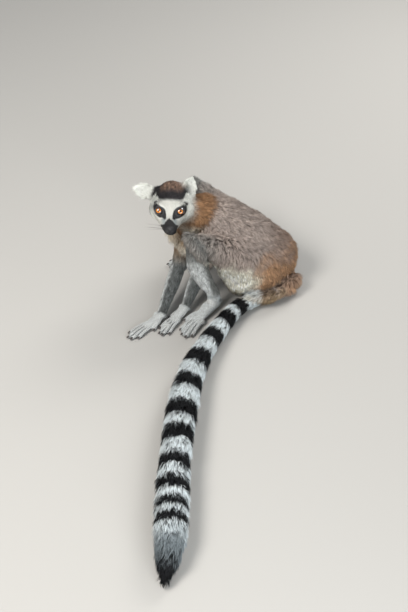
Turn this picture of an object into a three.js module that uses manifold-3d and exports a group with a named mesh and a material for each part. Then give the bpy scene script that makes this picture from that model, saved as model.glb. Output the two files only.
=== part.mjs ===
// A life-size ring-tailed lemur (Lemur catta), sitting on a flat floor with its hands between its feet,
// its head turned to its left and its tail laid out over the floor on that side.
// Millimetres, +Z up. Every size includes the coat, out to the tips of the fur.
// The trunk, thighs and head are smooth blends of round forms; limbs, digits and tail are lofted tubes.
// Neighbouring parts are divided by thin plane cuts, and all that touches the floor has a small flat there.
import * as THREE from "three";
import { mergeVertices } from "three/addons/utils/BufferGeometryUtils.js";
import { triTable } from "three/addons/objects/MarchingCubes.js";
import Module from "manifold-3d";

const wasm = await Module();
wasm.setup();
const { Manifold, Mesh } = wasm;

const at = (x, y, z) => new THREE.Vector3(x, y, z);

// ---- driving dimensions --------------------------------------------------------------------------------
const GAP = 0.4; // clear space left between neighbouring parts
const FAR = 1400; // larger than the whole animal, for the cutters
const BODY_BLEND = 4; // how softly the body's round forms run into each other
const HEAD_BLEND = 2.4;

const SWELL = 0.8; // how far a part keeps clear of a rounder one that it is seated against
const TRUNK_CELL = 19; // facet sizes
const THIGH_CELL = 19;
const NECK_CELL = 13;
const HEAD_CELL = 6.3;
const SEAT_CELL = 11; // the head's seat in the neck is plainer than the head, and wider by this much
const SEAT_SWELL = 2.3;

// The skeleton: joint places with the animal facing -X.
const PELVIS = at(-12, 38, 52.5);
const LOIN = at(-58, 42, 90);
const MID_BACK = at(-94, 41, 118);
const CHEST = at(-136, 28, 134);
const SHOULDER_HUMP = at(-120, 39, 142);
const NECK_BASE = at(-146, 31, 149);
const SKULL_BACK = at(-170, 33, 162);
const BELLY_REAR = at(-40, 34, 48);
const BELLY_FRONT = at(-100, 30, 92);

const LEGS = {
  left: {
    hip: at(-40, 6, 62),
    knee: at(-134, -50, 148),
    seat: at(-24, 3, 38.5),
    ham: at(-79, -4, 34),
    hamRadius: 32, // the soft belly side of the haunch reaches down to the floor
    calf: at(-136, -48, 104),
    shin: at(-123, -44, 64),
    ankle: at(-107, -40, 33),
    toes: at(-163, -119, 0),
  },
  right: {
    hip: at(-36, 72, 60),
    knee: at(-132, 106, 142),
    seat: at(-20, 68, 38.5),
    ham: at(-68, 92, 42),
    hamRadius: 27,
    calf: at(-132, 106, 100),
    shin: at(-118, 102, 62),
    ankle: at(-101, 98, 33),
    toes: at(-186, 66, 0),
  },
};
const ARMS = {
  left: {
    shoulder: at(-140, 6, 126),
    elbow: at(-126, 6, 58),
    wrist: at(-155, -51.5, 14),
    fingers: at(-195.5, -108, 0),
  },
  right: {
    shoulder: at(-154, 44, 128),
    elbow: at(-166, 14, 55),
    wrist: at(-196, -70.5, 14),
    fingers: at(-248, -121, 0),
  },
};

const HEAD_CENTRE = at(-177.5, 21.5, 177);
const HEAD_FORWARD = at(-0.069, -0.995, 0.068);
const HEAD_SCALE = 1.04;
const EYE_RADIUS = 8.1;
const EYE_CENTRE = at(17, 31, 4); // in the head's own frame: x right, y forward, z up

const NECK_CUT = at(-148, 30, 145); // a point of the cut between neck and trunk
const NECK_CUT_NORMAL = at(-0.62, -0.2, 0.76).normalize();

const TAIL_PATH = [
  at(14, 34, 34),
  at(22, 16, 22),
  at(18, -8, 18),
  at(0, -24, 17),
  at(-24, -32, 17),
  at(-48, -42, 17.5),
  at(-72, -66, 18.5),
  at(-90, -96, 19.5),
  at(-108, -131, 20.5),
  at(-127, -172, 21.5),
  at(-143, -217, 22.5),
  at(-153, -268, 24),
  at(-160, -322, 25),
  at(-165, -379, 26),
  at(-168, -437, 27),
  at(-169, -494, 27),
  at(-171, -548, 26),
  at(-176, -592, 22),
];
const TAIL_SEGMENTS = 5;
const TAIL_BASE_RADIUS = 17.5;
const TAIL_BRUSH_RADIUS = 28.5; // the widest place, in the last third
const TAIL_TIP_RADIUS = 10;

const COLOURS = {
  back: [0x8d7b70, 0.92],
  grey: [0x9a948e, 0.92],
  pale: [0xc9c6be, 0.9],
  white: [0xe3e0d8, 0.9],
  ring: [0xb9bab4, 0.9],
  eye: [0xc4680f, 0.15],
};

// ---- round forms as distance functions -----------------------------------------------------------------
// A ball-ended cone from a to b.
function cone(a, b, ra, rb) {
  const axis = b.clone().sub(a);
  const length2 = axis.lengthSq();
  return (p) => {
    const along = p.clone().sub(a);
    const t = length2 > 0 ? THREE.MathUtils.clamp(along.dot(axis) / length2, 0, 1) : 0;
    return along.addScaledVector(axis, -t).length() - (ra + (rb - ra) * t);
  };
}
const ball = (c, r) => cone(c, c, r, r);

function ellipsoid(c, r) {
  return (p) => {
    const q = p.clone().sub(c).divide(r);
    const k = q.length();
    return (k * (k - 1)) / Math.max(q.divide(r).length(), 1e-6);
  };
}

// A soft union: forms that come near each other run together.
function blend(forms, softness) {
  return (p) => {
    const d = forms.map((f) => f(p));
    const nearest = Math.min(...d);
    return nearest - softness * Math.log(d.reduce((s, x) => s + Math.exp((nearest - x) / softness), 0));
  };
}

// ---- from a distance function to a closed mesh (dual marching cubes) -----------------------------------
const CORNERS = [
  [0, 0, 0],
  [1, 0, 0],
  [1, 1, 0],
  [0, 1, 0],
  [0, 0, 1],
  [1, 0, 1],
  [1, 1, 1],
  [0, 1, 1],
];
const EDGES = [
  [0, 1],
  [1, 2],
  [2, 3],
  [3, 0],
  [4, 5],
  [5, 6],
  [6, 7],
  [7, 4],
  [0, 4],
  [1, 5],
  [2, 6],
  [3, 7],
];
// For a grid edge along x, y or z: the four cells round it, as offsets, and the edge's number in each.
const ROUND_EDGE = [
  [[0, 0, 0, 0], [0, -1, 0, 2], [0, -1, -1, 6], [0, 0, -1, 4]],
  [[0, 0, 0, 3], [0, 0, -1, 7], [-1, 0, -1, 5], [-1, 0, 0, 1]],
  [[0, 0, 0, 8], [-1, 0, 0, 9], [-1, -1, 0, 10], [0, -1, 0, 11]],
];

// The edges of a cell's crossing, grouped into the separate sheets that pass through the cell.
function sheets(code) {
  const group = Array.from({ length: 12 }, (_, i) => i);
  const find = (i) => (group[i] === i ? i : find(group[i]));
  for (let k = code * 16; triTable[k] >= 0; k += 3) {
    group[find(triTable[k + 1])] = find(triTable[k]);
    group[find(triTable[k + 2])] = find(triTable[k]);
  }
  const found = new Map();
  EDGES.forEach(([a, b], e) => {
    if (((code >> a) & 1) === ((code >> b) & 1)) return;
    const root = find(e);
    found.set(root, [...(found.get(root) ?? []), e]);
  });
  return [...found.values()];
}

// Moves a point onto the surface, along the steepest way.
function settle(field, p, reach) {
  const step = 0.05;
  const start = p.clone();
  for (let n = 0; n < 4; n++) {
    const here = field(p);
    const slope = at(
      field(p.clone().setX(p.x + step)) - here,
      field(p.clone().setY(p.y + step)) - here,
      field(p.clone().setZ(p.z + step)) - here,
    ).divideScalar(step);
    p.addScaledVector(slope, -here / Math.max(slope.lengthSq(), 0.2));
  }
  const moved = p.clone().sub(start);
  return moved.length() > reach ? start.addScaledVector(moved.normalize(), reach) : p;
}

// With a swell, the same facets are made and then moved outwards by that much.
function polygonize(field, box, cell, swell = 0) {
  const size = box.getSize(at(0, 0, 0));
  const n = [size.x, size.y, size.z].map((s) => Math.ceil(s / cell) + 1);
  const corner = (i, j, k) => at(box.min.x + i * cell, box.min.y + j * cell, box.min.z + k * cell);
  const index = (i, j, k) => (k * n[1] + j) * n[0] + i;
  // Whatever reaches the edge of the box ends there, and is cut off later.
  const values = new Float64Array(n[0] * n[1] * n[2]).fill(cell);
  for (let k = 1; k < n[2] - 1; k++)
    for (let j = 1; j < n[1] - 1; j++)
      for (let i = 1; i < n[0] - 1; i++) values[index(i, j, k)] = field(corner(i, j, k));

  const points = [];
  const cellPoint = new Map();
  for (let k = 0; k < n[2] - 1; k++)
    for (let j = 0; j < n[1] - 1; j++)
      for (let i = 0; i < n[0] - 1; i++) {
        const v = CORNERS.map(([x, y, z]) => values[index(i + x, j + y, k + z)]);
        const code = v.reduce((c, x, bit) => c | (x < 0 ? 1 << bit : 0), 0);
        if (code === 0 || code === 255) continue;
        for (const edges of sheets(code)) {
          const middle = at(0, 0, 0);
          for (const e of edges) {
            const [a, b] = EDGES[e];
            const pa = corner(i + CORNERS[a][0], j + CORNERS[a][1], k + CORNERS[a][2]);
            const pb = corner(i + CORNERS[b][0], j + CORNERS[b][1], k + CORNERS[b][2]);
            middle.add(pa.lerp(pb, v[a] / (v[a] - v[b])));
            cellPoint.set(index(i, j, k) * 12 + e, points.length);
          }
          points.push(settle((p) => field(p) - swell, middle.divideScalar(edges.length), cell / 2));
        }
      }

  const triangles = [];
  for (let k = 0; k < n[2] - 1; k++)
    for (let j = 0; j < n[1] - 1; j++)
      for (let i = 0; i < n[0] - 1; i++)
        ROUND_EDGE.forEach((around, axis) => {
          const inside = values[index(i, j, k)] < 0;
          const next = index(i + (axis === 0), j + (axis === 1), k + (axis === 2));
          if (inside === values[next] < 0) return;
          const q = around.map(([x, y, z, e]) => cellPoint.get(index(i + x, j + y, k + z) * 12 + e));
          if (!inside) q.reverse();
          const [a, b, c, d] = q;
          const short = points[a].distanceTo(points[c]) < points[b].distanceTo(points[d]);
          triangles.push(...(short ? [a, b, c, a, c, d] : [b, c, d, b, d, a]));
        });
  return solid(points, triangles);
}

// ---- solids ------------------------------------------------------------------------------------------
function solid(points, triangles) {
  const made = new Manifold(
    new Mesh({
      numProp: 3,
      vertProperties: new Float32Array(points.flatMap((p) => [p.x, p.y, p.z])),
      triVerts: new Uint32Array(triangles),
    }),
  );
  if (made.volume() > 0) return made;
  const turned = triangles.map((_, i) => triangles[i - (i % 3) + [0, 2, 1][i % 3]]);
  return solid(points, turned);
}

function solidOf(geometry) {
  const g = geometry.clone();
  for (const name of Object.keys(g.attributes)) if (name !== "position") g.deleteAttribute(name);
  const merged = mergeVertices(g, 1e-3);
  return new Manifold(
    new Mesh({
      numProp: 3,
      vertProperties: merged.attributes.position.array,
      triVerts: new Uint32Array(merged.index.array),
    }),
  );
}

// All that lies beyond a plane, as a large box.
function beyond(point, normal, size = FAR) {
  const n = normal.clone().normalize();
  const g = new THREE.BoxGeometry(size, size, size);
  g.translate(0, 0, size / 2);
  g.applyQuaternion(new THREE.Quaternion().setFromUnitVectors(at(0, 0, 1), n));
  g.translate(point.x, point.y, point.z);
  return solidOf(g);
}

// Takes away what lies beyond a plane, and half the gap on this side of it.
const cut = (s, point, normal) =>
  s.subtract(beyond(point.clone().addScaledVector(normal.clone().normalize(), -GAP / 2), normal));

const onFloor = (s) => s.subtract(beyond(at(0, 0, 0), at(0, 0, -1)));

// Of the bodies left after the cuts, the one nearest to a place.
function bodyAt(s, place) {
  const reach = (b) => {
    const box = b.boundingBox();
    const lo = at(...box.min);
    return new THREE.Box3(lo, at(...box.max)).distanceToPoint(place) - b.volume() * 1e-6;
  };
  return s.decompose().sort((a, b) => reach(a) - reach(b))[0];
}

// A tube through stations {p, r}, with round ends. Its section is an ellipse: wide times r along side.
function loft(stations, shape = {}) {
  const { side = at(0, 0, 1), wide = 1, sides = 12, steps = 2, round = [true, true], caps = [60, 30] } = shape;
  const path = new THREE.CatmullRomCurve3(stations.map((s) => s.p));
  const radii = new THREE.CatmullRomCurve3(stations.map((s, i) => at(s.r, i, 0)));
  const count = (stations.length - 1) * steps;
  const rings = [];
  const ring = (centre, along, r) => {
    const n = side.clone().addScaledVector(along, -side.dot(along)).normalize();
    const b = along.clone().cross(n);
    return Array.from({ length: sides }, (_, k) => {
      const angle = (2 * Math.PI * k) / sides;
      return centre
        .clone()
        .addScaledVector(n, wide * r * Math.cos(angle))
        .addScaledVector(b, r * Math.sin(angle));
    });
  };
  const capAngles = caps.map((d) => THREE.MathUtils.degToRad(d));
  const end = (t, sign) => ({ p: path.getPoint(t), d: path.getTangent(t), r: radii.getPoint(t).x, sign });
  const cap = ({ p, d, r, sign }) =>
    capAngles.map((a) => ring(p.clone().addScaledVector(d, sign * r * Math.sin(a)), d, r * Math.cos(a)));
  const first = end(0, -1);
  const last = end(1, 1);
  if (round[0]) rings.push(...cap(first));
  for (let i = 0; i <= count; i++)
    rings.push(ring(path.getPoint(i / count), path.getTangent(i / count), radii.getPoint(i / count).x));
  if (round[1]) rings.push(...cap(last).reverse());
  const pole = (e, isRound) => e.p.clone().addScaledVector(e.d, isRound ? e.sign * e.r : 0);
  const points = [...rings.flat(), pole(first, round[0]), pole(last, round[1])];
  const triangles = [];
  for (let i = 0; i < rings.length - 1; i++)
    for (let k = 0; k < sides; k++) {
      const a = i * sides + k;
      const b = i * sides + ((k + 1) % sides);
      triangles.push(a, b, b + sides, a, b + sides, a + sides);
    }
  const top = (rings.length - 1) * sides;
  for (let k = 0; k < sides; k++) {
    triangles.push(points.length - 2, (k + 1) % sides, k);
    triangles.push(points.length - 1, top + k, top + ((k + 1) % sides));
  }
  return solid(points, triangles);
}

// The plane that halves the angle at a joint, its normal pointing along the limb.
const halving = (before, joint, after) =>
  joint.clone().sub(before).normalize().add(after.clone().sub(joint).normalize()).normalize();

const boxRound = (points, margin) => new THREE.Box3().setFromPoints(points).expandByScalar(margin);

// ---- trunk, neck and thighs ----------------------------------------------------------------------------
const trunkForms = [
  cone(PELVIS, LOIN, 55, 52),
  cone(LOIN, MID_BACK, 52, 48),
  cone(MID_BACK, CHEST, 48, 40),
  cone(MID_BACK, SHOULDER_HUMP, 47, 37),
  cone(BELLY_REAR, BELLY_FRONT, 42, 36),
];
const neckForms = [cone(SHOULDER_HUMP, NECK_BASE, 36, 30), cone(NECK_BASE, SKULL_BACK, 30, 28)];
const bodyField = blend([...trunkForms, ...neckForms], BODY_BLEND);
const trunkBox = boxRound([PELVIS, SHOULDER_HUMP, CHEST, NECK_BASE], 66);

const makeTrunk = () => cut(onFloor(polygonize(bodyField, trunkBox, TRUNK_CELL)), NECK_CUT, NECK_CUT_NORMAL);

// The head is seated in the neck's upper end.
function makeNeck(headSeat) {
  const box = boxRound([NECK_BASE, SKULL_BACK, SHOULDER_HUMP], 44);
  const s = cut(polygonize(bodyField, box, NECK_CELL), NECK_CUT, NECK_CUT_NORMAL.clone().negate());
  return bodyAt(s.subtract(headSeat), NECK_BASE);
}

function thighBlock({ hip, knee, seat, ham, hamRadius }, swell) {
  const field = blend([cone(hip, knee, 46, 22), cone(seat, ham, 38, hamRadius)], BODY_BLEND);
  return polygonize(field, boxRound([hip, knee, seat], 60), THIGH_CELL, swell);
}

// The thigh lies against the trunk, and its underside against the calf.
function makeThigh(leg, trunk) {
  const { hip, knee, calf } = leg;
  const s = cut(onFloor(thighBlock(leg, 0)), knee, halving(hip, knee, calf));
  return bodyAt(s.subtract(makeShin(leg, SWELL)).subtract(trunk), hip.clone().lerp(knee, 0.6));
}

// ---- legs --------------------------------------------------------------------------------------------
function makeShin({ hip, knee, calf, shin, ankle, toes }, swell = 0) {
  const stations = [
    { p: knee, r: 21 + swell },
    { p: calf, r: 19.5 + swell },
    { p: shin, r: 16 + swell },
    { p: ankle, r: 12 + swell },
  ];
  const s = loft(stations, { side: at(0, 1, 0), wide: 0.9, steps: 2, sides: 10 });
  return cut(cut(s, knee, halving(hip, knee, calf).negate()), ankle, halving(shin, ankle, toes));
}

// Digits, each by its base, its tip and its radius, in a frame with x forwards, y to the animal's outer
// side and z up. Each arches a little and ends in a round pad, whose lowest side lies on the floor.
const HALF_SECTION = Math.cos(Math.PI / 6); // half the height of a six-sided section with a flat below
function makeDigits(digits, place, across) {
  return digits.map(({ base, tip, r }) => {
    const knuckle = base.clone().lerp(tip, 0.5).setZ(Math.max(base.z, tip.z) + 1);
    return loft(
      [
        { p: place(base), r: r * 1.15 },
        { p: place(knuckle), r },
        { p: place(tip.clone().setZ(r * HALF_SECTION)), r },
      ],
      { side: across, sides: 6, steps: 1, caps: [], round: [false, true] },
    );
  });
}

// A frame on the floor, from a heel or wrist towards the fingertips, whose y points outwards.
function placer(from, towards, outer) {
  const forward = towards.clone().sub(from).setZ(0).normalize();
  const lateral = at(0, 0, 1).cross(forward).multiplyScalar(outer);
  return (p) =>
    at(from.x, from.y, 0).addScaledVector(forward, p.x).addScaledVector(lateral, p.y).add(at(0, 0, p.z));
}

const TOES = [
  { base: at(60, -7, 7), tip: at(88, -11, 0), r: 4.9 },
  { base: at(62, -2, 7), tip: at(96, -3, 0), r: 4.7 },
  { base: at(62, 4, 7), tip: at(98, 6, 0), r: 4.7 },
  { base: at(58, 8, 7), tip: at(90, 13, 0), r: 4.5 },
  { base: at(38, -7, 7), tip: at(66, -18, 0), r: 5.4 }, // the big toe stands apart
];
function makeFoot({ shin, ankle, toes }, side) {
  const outer = side === "left" ? 1 : -1;
  const back = at(ankle.x, ankle.y, 0).sub(toes.clone().sub(ankle).setZ(0).normalize().multiplyScalar(9));
  const place = placer(back, toes, outer);
  const across = place(at(0, 1, 0)).sub(place(at(0, 0, 0)));
  const body = loft(
    [
      { p: place(at(3, 0, 11)), r: 11 },
      { p: place(at(28, 0, 12)), r: 11.5 },
      { p: place(at(56, 0, 7.2)), r: 8.2 },
    ],
    { side: across, wide: 1.1, steps: 1, sides: 8, caps: [45] },
  );
  const pad = loft(
    [
      { p: place(at(55, -6, 6.6)), r: 7 },
      { p: place(at(55, 8, 6.4)), r: 6.8 },
    ],
    { sides: 6, steps: 1, caps: [45] },
  );
  const stub = loft(
    [
      { p: ankle.clone().lerp(shin, 0.4), r: 13.5 },
      { p: ankle, r: 12 },
      { p: place(at(12, 0, 13)), r: 10 },
    ],
    { side: at(0, 1, 0), wide: 0.9, steps: 1, sides: 8, round: [false, false] },
  );
  let s = Manifold.union([body, pad, stub, ...makeDigits(TOES, place, across)]);
  s = cut(s, ankle, halving(shin, ankle, toes).negate());
  return bodyAt(onFloor(s), place(at(30, 0, 8)));
}

// ---- arms --------------------------------------------------------------------------------------------
// The upper arm's top is seated in the chest.
function makeUpperArm({ shoulder, elbow, wrist }, trunk) {
  const s = loft(
    [
      { p: shoulder, r: 20 },
      { p: shoulder.clone().lerp(elbow, 0.55), r: 16.5 },
      { p: elbow, r: 14.5 },
    ],
    { side: at(0, 1, 0), wide: 0.9, steps: 2 },
  );
  return bodyAt(cut(s, elbow, halving(shoulder, elbow, wrist)).subtract(trunk), elbow);
}

function makeForearm({ shoulder, elbow, wrist }) {
  let s = loft(
    [
      { p: elbow, r: 14.5 },
      { p: elbow.clone().lerp(wrist, 0.45), r: 14 },
      { p: wrist, r: 9.2 },
    ],
    { side: at(0, 0, 1), wide: 0.92, steps: 2 },
  );
  s = cut(s, elbow, halving(shoulder, elbow, wrist).negate());
  return cut(onFloor(s), wrist, wrist.clone().sub(elbow));
}

const FINGERS = [
  { base: at(32, -6, 6.4), tip: at(59, -9, 0), r: 4.2 },
  { base: at(34, -2, 6.6), tip: at(69, -3, 0), r: 4.1 },
  { base: at(34, 3, 6.6), tip: at(70, 4, 0), r: 4.1 },
  { base: at(31, 6.5, 6.4), tip: at(61, 11, 0), r: 3.9 },
  { base: at(8, -5, 6.4), tip: at(28, -12, 0), r: 4.2 }, // the thumb
];
function makeHand({ elbow, wrist, fingers }, side) {
  const outer = side === "left" ? 1 : -1;
  const place = placer(wrist, fingers, outer);
  const across = place(at(0, 1, 0)).sub(place(at(0, 0, 0)));
  const palm = loft(
    [
      { p: elbow.clone().lerp(wrist, 0.85), r: 11 },
      { p: wrist, r: 9.4 },
      { p: place(at(16, 0, 8)), r: 8.6 },
      { p: place(at(33, 0.5, 6.4)), r: 6.8 },
    ],
    { side: across, wide: 1.1, steps: 1, sides: 8, caps: [45], round: [false, true] },
  );
  const knuckles = loft(
    [
      { p: place(at(29, -4.5, 6)), r: 6 },
      { p: place(at(29, 5.5, 5.8)), r: 5.8 },
    ],
    { sides: 6, steps: 1, caps: [45] },
  );
  let s = Manifold.union([palm, knuckles, ...makeDigits(FINGERS, place, across)]);
  s = cut(s, wrist, elbow.clone().sub(wrist));
  return bodyAt(onFloor(s), place(at(25, 0, 7)));
}

// ---- head --------------------------------------------------------------------------------------------
const headUp = at(0, 0, 1).addScaledVector(HEAD_FORWARD, -HEAD_FORWARD.z).normalize();
const headRight = HEAD_FORWARD.clone().cross(headUp).normalize();
const headFrame = new THREE.Matrix4()
  .makeBasis(headRight, HEAD_FORWARD.clone().normalize(), headUp)
  .scale(at(HEAD_SCALE, HEAD_SCALE, HEAD_SCALE))
  .setPosition(HEAD_CENTRE);
const toWorld = (s) => s.transform(headFrame.elements);
const bothSides = (make) => [1, -1].map(make);

const headForms = [
  ellipsoid(at(0, -4, 6), at(28, 33, 27)), // braincase
  ellipsoid(at(0, 15, 8), at(22, 20, 18)), // forehead
  ...bothSides((s) => ellipsoid(at(s * 19, 5, -9), at(18, 20, 18))), // cheeks
  ...bothSides((s) => ball(at(s * 16.5, 25.4, 3.5), 11)), // eye rims
  cone(at(0, 26, -8), at(0, 55.5, -12.5), 16, 9.2), // muzzle
  ...bothSides((s) => cone(at(s * 15, 15, -10), at(s * 4.5, 46, -13.5), 13, 8.5)), // its sides
  ...bothSides((s) => ball(at(s * 5.5, 52, -15), 8)), // whisker pads
  cone(at(0, 8, -19), at(0, 49, -19), 15, 6.6), // jaw
  ellipsoid(at(0, 64, -9.5), at(6.4, 4.6, 5)), // nose
];

function makeEye(sign, radius, name) {
  const g = new THREE.SphereGeometry(radius, 10, 6);
  g.translate(sign * EYE_CENTRE.x, EYE_CENTRE.y, EYE_CENTRE.z);
  return name ? toWorld(solidOf(g)) : solidOf(g);
}

const EAR = { long: 20, wide: 14, thick: 8 };
const EAR_BASE = { right: at(23, -9, 9), left: at(-24.3, 1, 8.3) };
const EAR_AXIS = { right: at(0.97, -0.1, 0.2), left: at(-0.16, -0.6, 0.76) };
const EAR_OPENING = { right: at(0.05, 0.85, 0.5), left: at(-0.35, 0.75, 0.5) };

// A cupped leaf: a flattened ball with a smaller one scooped out of its front.
function makeEar(side) {
  const up = EAR_AXIS[side].clone().normalize();
  const front = EAR_OPENING[side].clone().addScaledVector(up, -EAR_OPENING[side].dot(up)).normalize();
  const across = front.clone().cross(up);
  const turn = new THREE.Matrix4().makeBasis(across, front, up);
  const leaf = (scale, shift) => {
    const g = new THREE.SphereGeometry(1, 10, 6);
    g.rotateX(Math.PI / 2);
    g.scale(EAR.wide * scale, EAR.thick * scale, EAR.long * scale);
    g.translate(0, shift, EAR.long * 0.85);
    g.applyMatrix4(turn);
    g.translate(EAR_BASE[side].x, EAR_BASE[side].y, EAR_BASE[side].z);
    return solidOf(g);
  };
  return leaf(1, 0).subtract(leaf(0.8, 4.4));
}

function makeHead() {
  const field = blend(headForms, HEAD_BLEND);
  const box = boxRound([at(-38, -40, -38), at(38, 76, 34)], 4);
  let s = polygonize(field, box, HEAD_CELL);
  for (const sign of [1, -1]) s = s.subtract(makeEye(sign, EYE_RADIUS + GAP));
  const swollen = polygonize(field, box, HEAD_CELL, SWELL);
  return { skull: s, swollen, seat: polygonize(field, box, SEAT_CELL, SEAT_SWELL) };
}

// ---- tail --------------------------------------------------------------------------------------------
const tailCurve = new THREE.CatmullRomCurve3(TAIL_PATH);
function tailRadius(t) {
  const brush = THREE.MathUtils.smoothstep(t, 0.15, 0.62);
  const point = THREE.MathUtils.smoothstep(t, 0.9, 1.02);
  const full = THREE.MathUtils.lerp(TAIL_BASE_RADIUS, TAIL_BRUSH_RADIUS, brush);
  return THREE.MathUtils.lerp(full, TAIL_TIP_RADIUS, point);
}
// The tail's lowest line lies a millimetre below the floor, so that it rests on a narrow flat.
function tailPoint(t) {
  const p = tailCurve.getPointAt(t);
  if (t > 0.12) p.z = THREE.MathUtils.lerp(p.z, tailRadius(t) - 1, THREE.MathUtils.smoothstep(t, 0.12, 0.2));
  return p;
}
const JOINT_LAP = 0.012; // how far a length of tail runs on past the joint before it is cut
function makeTailSegment(n) {
  const last = n === TAIL_SEGMENTS - 1;
  const ends = [n / TAIL_SEGMENTS, (n + 1) / TAIL_SEGMENTS];
  const from = Math.max(ends[0] - JOINT_LAP, 0);
  const to = Math.min(ends[1] + JOINT_LAP, 1);
  const count = 4;
  const stations = Array.from({ length: count + 1 }, (_, i) => {
    const t = from + ((to - from) * i) / count;
    return { p: tailPoint(t), r: tailRadius(t) };
  });
  let s = onFloor(loft(stations, { steps: 1, sides: 12, round: [false, last] }));
  const along = (t) => tailPoint(t + 1e-3).sub(tailPoint(t - 1e-3));
  if (n) s = cut(s, tailPoint(ends[0]), along(ends[0]).negate());
  return last ? s : cut(s, tailPoint(ends[1]), along(ends[1]));
}

// ---- the whole animal ----------------------------------------------------------------------------------
const lemur = new THREE.Group();
const made = new Map();

function add(name, s, [colour, roughness]) {
  const { numProp, vertProperties, triVerts } = s.getMesh();
  const positions = Array.from({ length: vertProperties.length / numProp }, (_, i) => [
    ...vertProperties.subarray(i * numProp, i * numProp + 3),
  ]).flat();
  const g = new THREE.BufferGeometry()
    .setAttribute("position", new THREE.Float32BufferAttribute(positions, 3))
    .setIndex([...triVerts]);
  g.computeVertexNormals();
  const mesh = new THREE.Mesh(g, new THREE.MeshStandardMaterial({ color: colour, roughness, metalness: 0 }));
  mesh.name = name;
  lemur.add(mesh);
  made.set(name, s);
}

const swollenTrunk = polygonize(bodyField, trunkBox, TRUNK_CELL, SWELL);
const { skull, swollen, seat } = makeHead();
const headBlock = toWorld(swollen);
add("head", bodyAt(toWorld(skull), HEAD_CENTRE), COLOURS.white);
add("neck", makeNeck(toWorld(seat)), COLOURS.back);
add("trunk", makeTrunk(), COLOURS.back);
for (const side of ["left", "right"]) {
  const sign = side === "right" ? 1 : -1;
  const leg = LEGS[side];
  const arm = ARMS[side];
  add(`eye_${side}`, makeEye(sign, EYE_RADIUS, true), COLOURS.eye);
  add(`ear_${side}`, bodyAt(toWorld(makeEar(side)).subtract(headBlock), HEAD_CENTRE), COLOURS.white);
  add(`thigh_${side}`, makeThigh(leg, swollenTrunk), COLOURS.back);
  add(`shin_${side}`, makeShin(leg), COLOURS.grey);
  add(`foot_${side}`, makeFoot(leg, side), COLOURS.pale);
  add(`upper_arm_${side}`, makeUpperArm(arm, swollenTrunk), COLOURS.grey);
  add(`forearm_${side}`, makeForearm(arm), COLOURS.grey);
  add(`hand_${side}`, makeHand(arm, side), COLOURS.pale);
}
const overTail = swollenTrunk.add(thighBlock(LEGS.left, SWELL));
for (let n = 0; n < TAIL_SEGMENTS; n++) {
  const s = makeTailSegment(n);
  const end = tailPoint((n + 1) / TAIL_SEGMENTS);
  add(`tail_${n + 1}`, n < 2 ? bodyAt(s.subtract(overTail), end) : s, COLOURS.ring);
}

// The origin is the bottom centre of the animal's box.
const box = new THREE.Box3().setFromObject(lemur);
const middle = box.getCenter(at(0, 0, 0));
lemur.position.set(-middle.x, -middle.y, -box.min.z);

export default lemur;
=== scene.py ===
import math

import bmesh
import bpy
import numpy as np
from mathutils import Matrix, Vector
from mathutils.bvhtree import BVHTree
from mathutils.kdtree import KDTree


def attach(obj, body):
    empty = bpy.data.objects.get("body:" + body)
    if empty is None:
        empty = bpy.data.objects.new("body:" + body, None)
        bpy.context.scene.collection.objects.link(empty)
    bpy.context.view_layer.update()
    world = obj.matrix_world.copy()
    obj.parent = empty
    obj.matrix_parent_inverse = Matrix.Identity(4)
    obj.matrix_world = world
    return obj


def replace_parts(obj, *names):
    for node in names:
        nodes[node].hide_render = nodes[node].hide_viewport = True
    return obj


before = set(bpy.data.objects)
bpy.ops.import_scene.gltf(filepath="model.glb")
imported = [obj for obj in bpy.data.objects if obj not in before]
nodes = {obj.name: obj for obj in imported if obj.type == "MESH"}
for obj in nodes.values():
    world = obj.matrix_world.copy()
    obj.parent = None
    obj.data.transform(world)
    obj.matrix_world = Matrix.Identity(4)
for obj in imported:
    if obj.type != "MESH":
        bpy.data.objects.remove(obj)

# A ring-tailed lemur sitting on the floor, knees drawn up, with its tail laid out in front of it.
# One skin is drawn over the whole body, and the coat stands on it in locks that follow the lie of
# the hair. Lengths are in metres, and where they aren't, the comment beside them says so. Places on
# the animal are given in the source's millimetres and moved by at().
SOURCE_ORIGIN = np.array((104.940, 238.213, 0.0))
rng = np.random.default_rng(7)
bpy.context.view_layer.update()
COAT_SHARE = 1.0


def at(*place):
    return (np.array(place, float) + SOURCE_ORIGIN) / 1000


def unit(vectors):
    vectors = np.asarray(vectors, float)
    return vectors / np.maximum(np.linalg.norm(vectors, axis=-1, keepdims=True), 1e-9)


def smooth_step(value, low, high):
    t = np.clip((np.asarray(value, float) - low) / (high - low), 0, 1)
    return t * t * (3 - 2 * t)


# ---- where the parts of the body are -----------------------------------------------------------------
EYES = ["eye_left", "eye_right"]
FLESH = sorted(n for n in nodes if n not in EYES)
PART = {name: i for i, name in enumerate(FLESH)}
SIDES = {"left": 1.0, "right": -1.0}

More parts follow.
